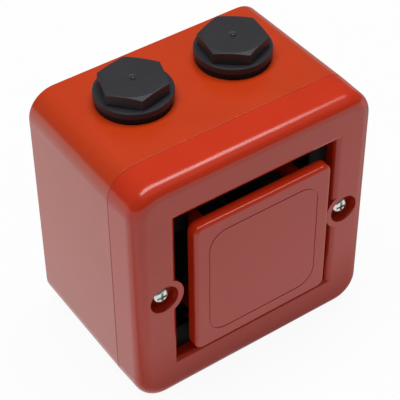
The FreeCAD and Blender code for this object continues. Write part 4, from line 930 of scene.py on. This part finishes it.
@dataclass(frozen=True)
class Lamp:
    """A soft-box lamp that hangs over the object and points at its origin."""

    name: str
    power: float
    size: tuple[float, float]
    place: Place

    def hang(self) -> None:
        """Add the lamp to the scene."""
        data = bpy.data.lights.new(self.name, "AREA")
        data.energy = self.power
        data.shape = "RECTANGLE"
        data.size, data.size_y = self.size
        made = bpy.data.objects.new(self.name, data)
        aim = Vector() - Vector(self.place)
        turn = aim.to_track_quat("-Z", "Y").to_matrix().to_4x4()
        made.matrix_world = Matrix.Translation(self.place) @ turn
        bpy.context.scene.collection.objects.link(made)


@dataclass
class Floor:
    """The pale floor, and how bright it looks in the object's gloss from place to place.

    It looks plain white in front of the case and on its left, dimmer on its right, which is painted
    shade, and dimmest in a strip right before the case, which is a painted shadow of the case.
    """

    half: float = 3.0
    gap: float = 0.2 * MM
    tone: float = 0.85
    roughness: float = 0.9
    seen_white: float = 0.94
    painted_shadow_by_the_case: float = 0.3
    in_front: float = 1.0
    beside: float = 1.0
    painted_shade_far_side: float = 0.4
    case_front: float = -62.0 * MM
    front_soft: float = 22 * MM
    corner_soft: float = 10 * MM
    side_soft: float = 20 * MM

    def build(self) -> None:
        """Lay the floor that the case stands on."""
        work = bmesh.new()
        bmesh.ops.create_grid(work, x_segments=1, y_segments=1, size=self.half)
        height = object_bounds()[0][2] - self.gap
        bmesh.ops.translate(work, verts=work.verts[:], vec=(0, 0, height))
        data = bpy.data.meshes.new("floor")
        work.to_mesh(data)
        work.free()
        data.materials.append(self.material())
        made = bpy.data.objects.new("floor", data)
        bpy.context.scene.collection.objects.link(made)
        made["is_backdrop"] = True

    def material(self) -> bpy.types.Material:
        """Build the floor's material, which the camera sees as white and the object's gloss as
        white with painted shade.
        """
        shader = Shader("floor_white", roughness=self.roughness,
                        base_color=(self.tone, self.tone, self.tone, 1.0))
        rays = shader.node("LightPath", {}, {}, "Is Camera Ray")
        gloss = shader.node("LightPath", {}, {}, "Is Glossy Ray")
        seen = (rays * self.seen_white + gloss).at_most(1.0)
        strength = gloss * (self.brightness(shader) - 1.0) + 1.0
        glow = shader.node("Emission", {}, {"Color": WHITE, "Strength": strength})
        body = Value(shader, shader.principled.outputs[0])
        mixed = shader.node("MixShader", {}, {0: seen, 1: body, 2: glow})
        output = shader.tree.nodes["Material Output"]
        shader.tree.links.new(mixed.socket, output.inputs["Surface"])
        return shader.material

    def brightness(self, shader: Shader) -> Value:
        """Return how bright the floor looks in the object's gloss, painted shade and shadow
        included.
        """
        depth = shader.coordinate(Axis.DEPTH)
        # A dimmer strip right before the case: a painted shadow of the case, seen in its gloss.
        clear = depth.below(self.case_front - self.front_soft / 2, self.front_soft)
        front = clear * (self.in_front - self.painted_shadow_by_the_case) + self.painted_shadow_by_the_case
        ahead = depth.below(self.case_front, self.corner_soft)
        # Dimmer on the right: painted shade.
        near = shader.coordinate(Axis.ACROSS).below(0.0, self.side_soft)
        beside = near * (self.beside - self.painted_shade_far_side) + self.painted_shade_far_side
        return ahead * (front - beside) + beside


@dataclass
class Studio:
    """A pale floor, a plain sky, two soft lamps and the photograph's camera."""

    sky: float = 0.13
    key: Lamp = Lamp("key_lamp", 12.0, (1.3, 0.44), (0.0, 0.1, 1.1))
    fill: Lamp = Lamp("fill_lamp", 1.0, (1.4, 0.8), (0.0, -0.5, 1.0))
    camera_place: Place = (-206.77 * MM, -328.29 * MM, 335.79 * MM)
    right: Place = (0.818855, -0.573967, -0.006119)
    up: Place = (0.393896, 0.554137, 0.733334)
    back: Place = (-0.417519, -0.602905, 0.679841)
    focal_pixels: float = 1458.07
    frame_pixels: float = 400.0
    sensor: float = 36.0

    def build(self) -> None:
        """Set the studio up."""
        self.camera()
        Floor().build()
        self.world()
        self.key.hang()
        self.fill.hang()
        bpy.context.scene.view_settings.view_transform = "Standard"
        LOG.info("studio ready")

    def camera(self) -> None:
        """Place the camera as it stood for the photograph."""
        data = bpy.data.cameras.new("camera")
        data.sensor_width = self.sensor
        data.lens = self.focal_pixels / self.frame_pixels * data.sensor_width
        made = bpy.data.objects.new("camera", data)
        bpy.context.scene.collection.objects.link(made)
        turn = Matrix((self.right, self.up, self.back)).transposed()
        made.matrix_world = Matrix.Translation(self.camera_place) @ turn.to_4x4()
        bpy.context.scene.camera = made

    def world(self) -> None:
        """Light the object with a plain grey sky that the camera sees as white."""
        sky = bpy.data.worlds.new("studio")
        bpy.context.scene.world = sky
        sky.use_nodes = True
        tree = sky.node_tree
        light = tree.nodes["Background"]
        light.inputs["Color"].default_value = (self.sky, self.sky, self.sky, 1)
        white = tree.nodes.new("ShaderNodeBackground")
        white.inputs["Color"].default_value = WHITE
        rays = tree.nodes.new("ShaderNodeLightPath")
        mix = tree.nodes.new("ShaderNodeMixShader")
        tree.links.new(rays.outputs["Is Camera Ray"], mix.inputs[0])
        tree.links.new(light.outputs[0], mix.inputs[1])
        tree.links.new(white.outputs[0], mix.inputs[2])
        tree.links.new(mix.outputs[0], tree.nodes["World Output"].inputs["Surface"])


def main() -> None:
    """Build every sub-assembly in turn."""
    logging.basicConfig(level=logging.INFO, format="%(name)s: %(message)s")
    shelf = Shelf()
    shelf.stock()
    Case(shelf).build()
    Cover(shelf).build()
    Driver(shelf).build()
    Circuit(shelf).build()
    EntryPlug(shelf, Side.LEFT).build()
    EntryPlug(shelf, Side.RIGHT).build()
    Studio().build()


if __name__ == "__main__":
    main()
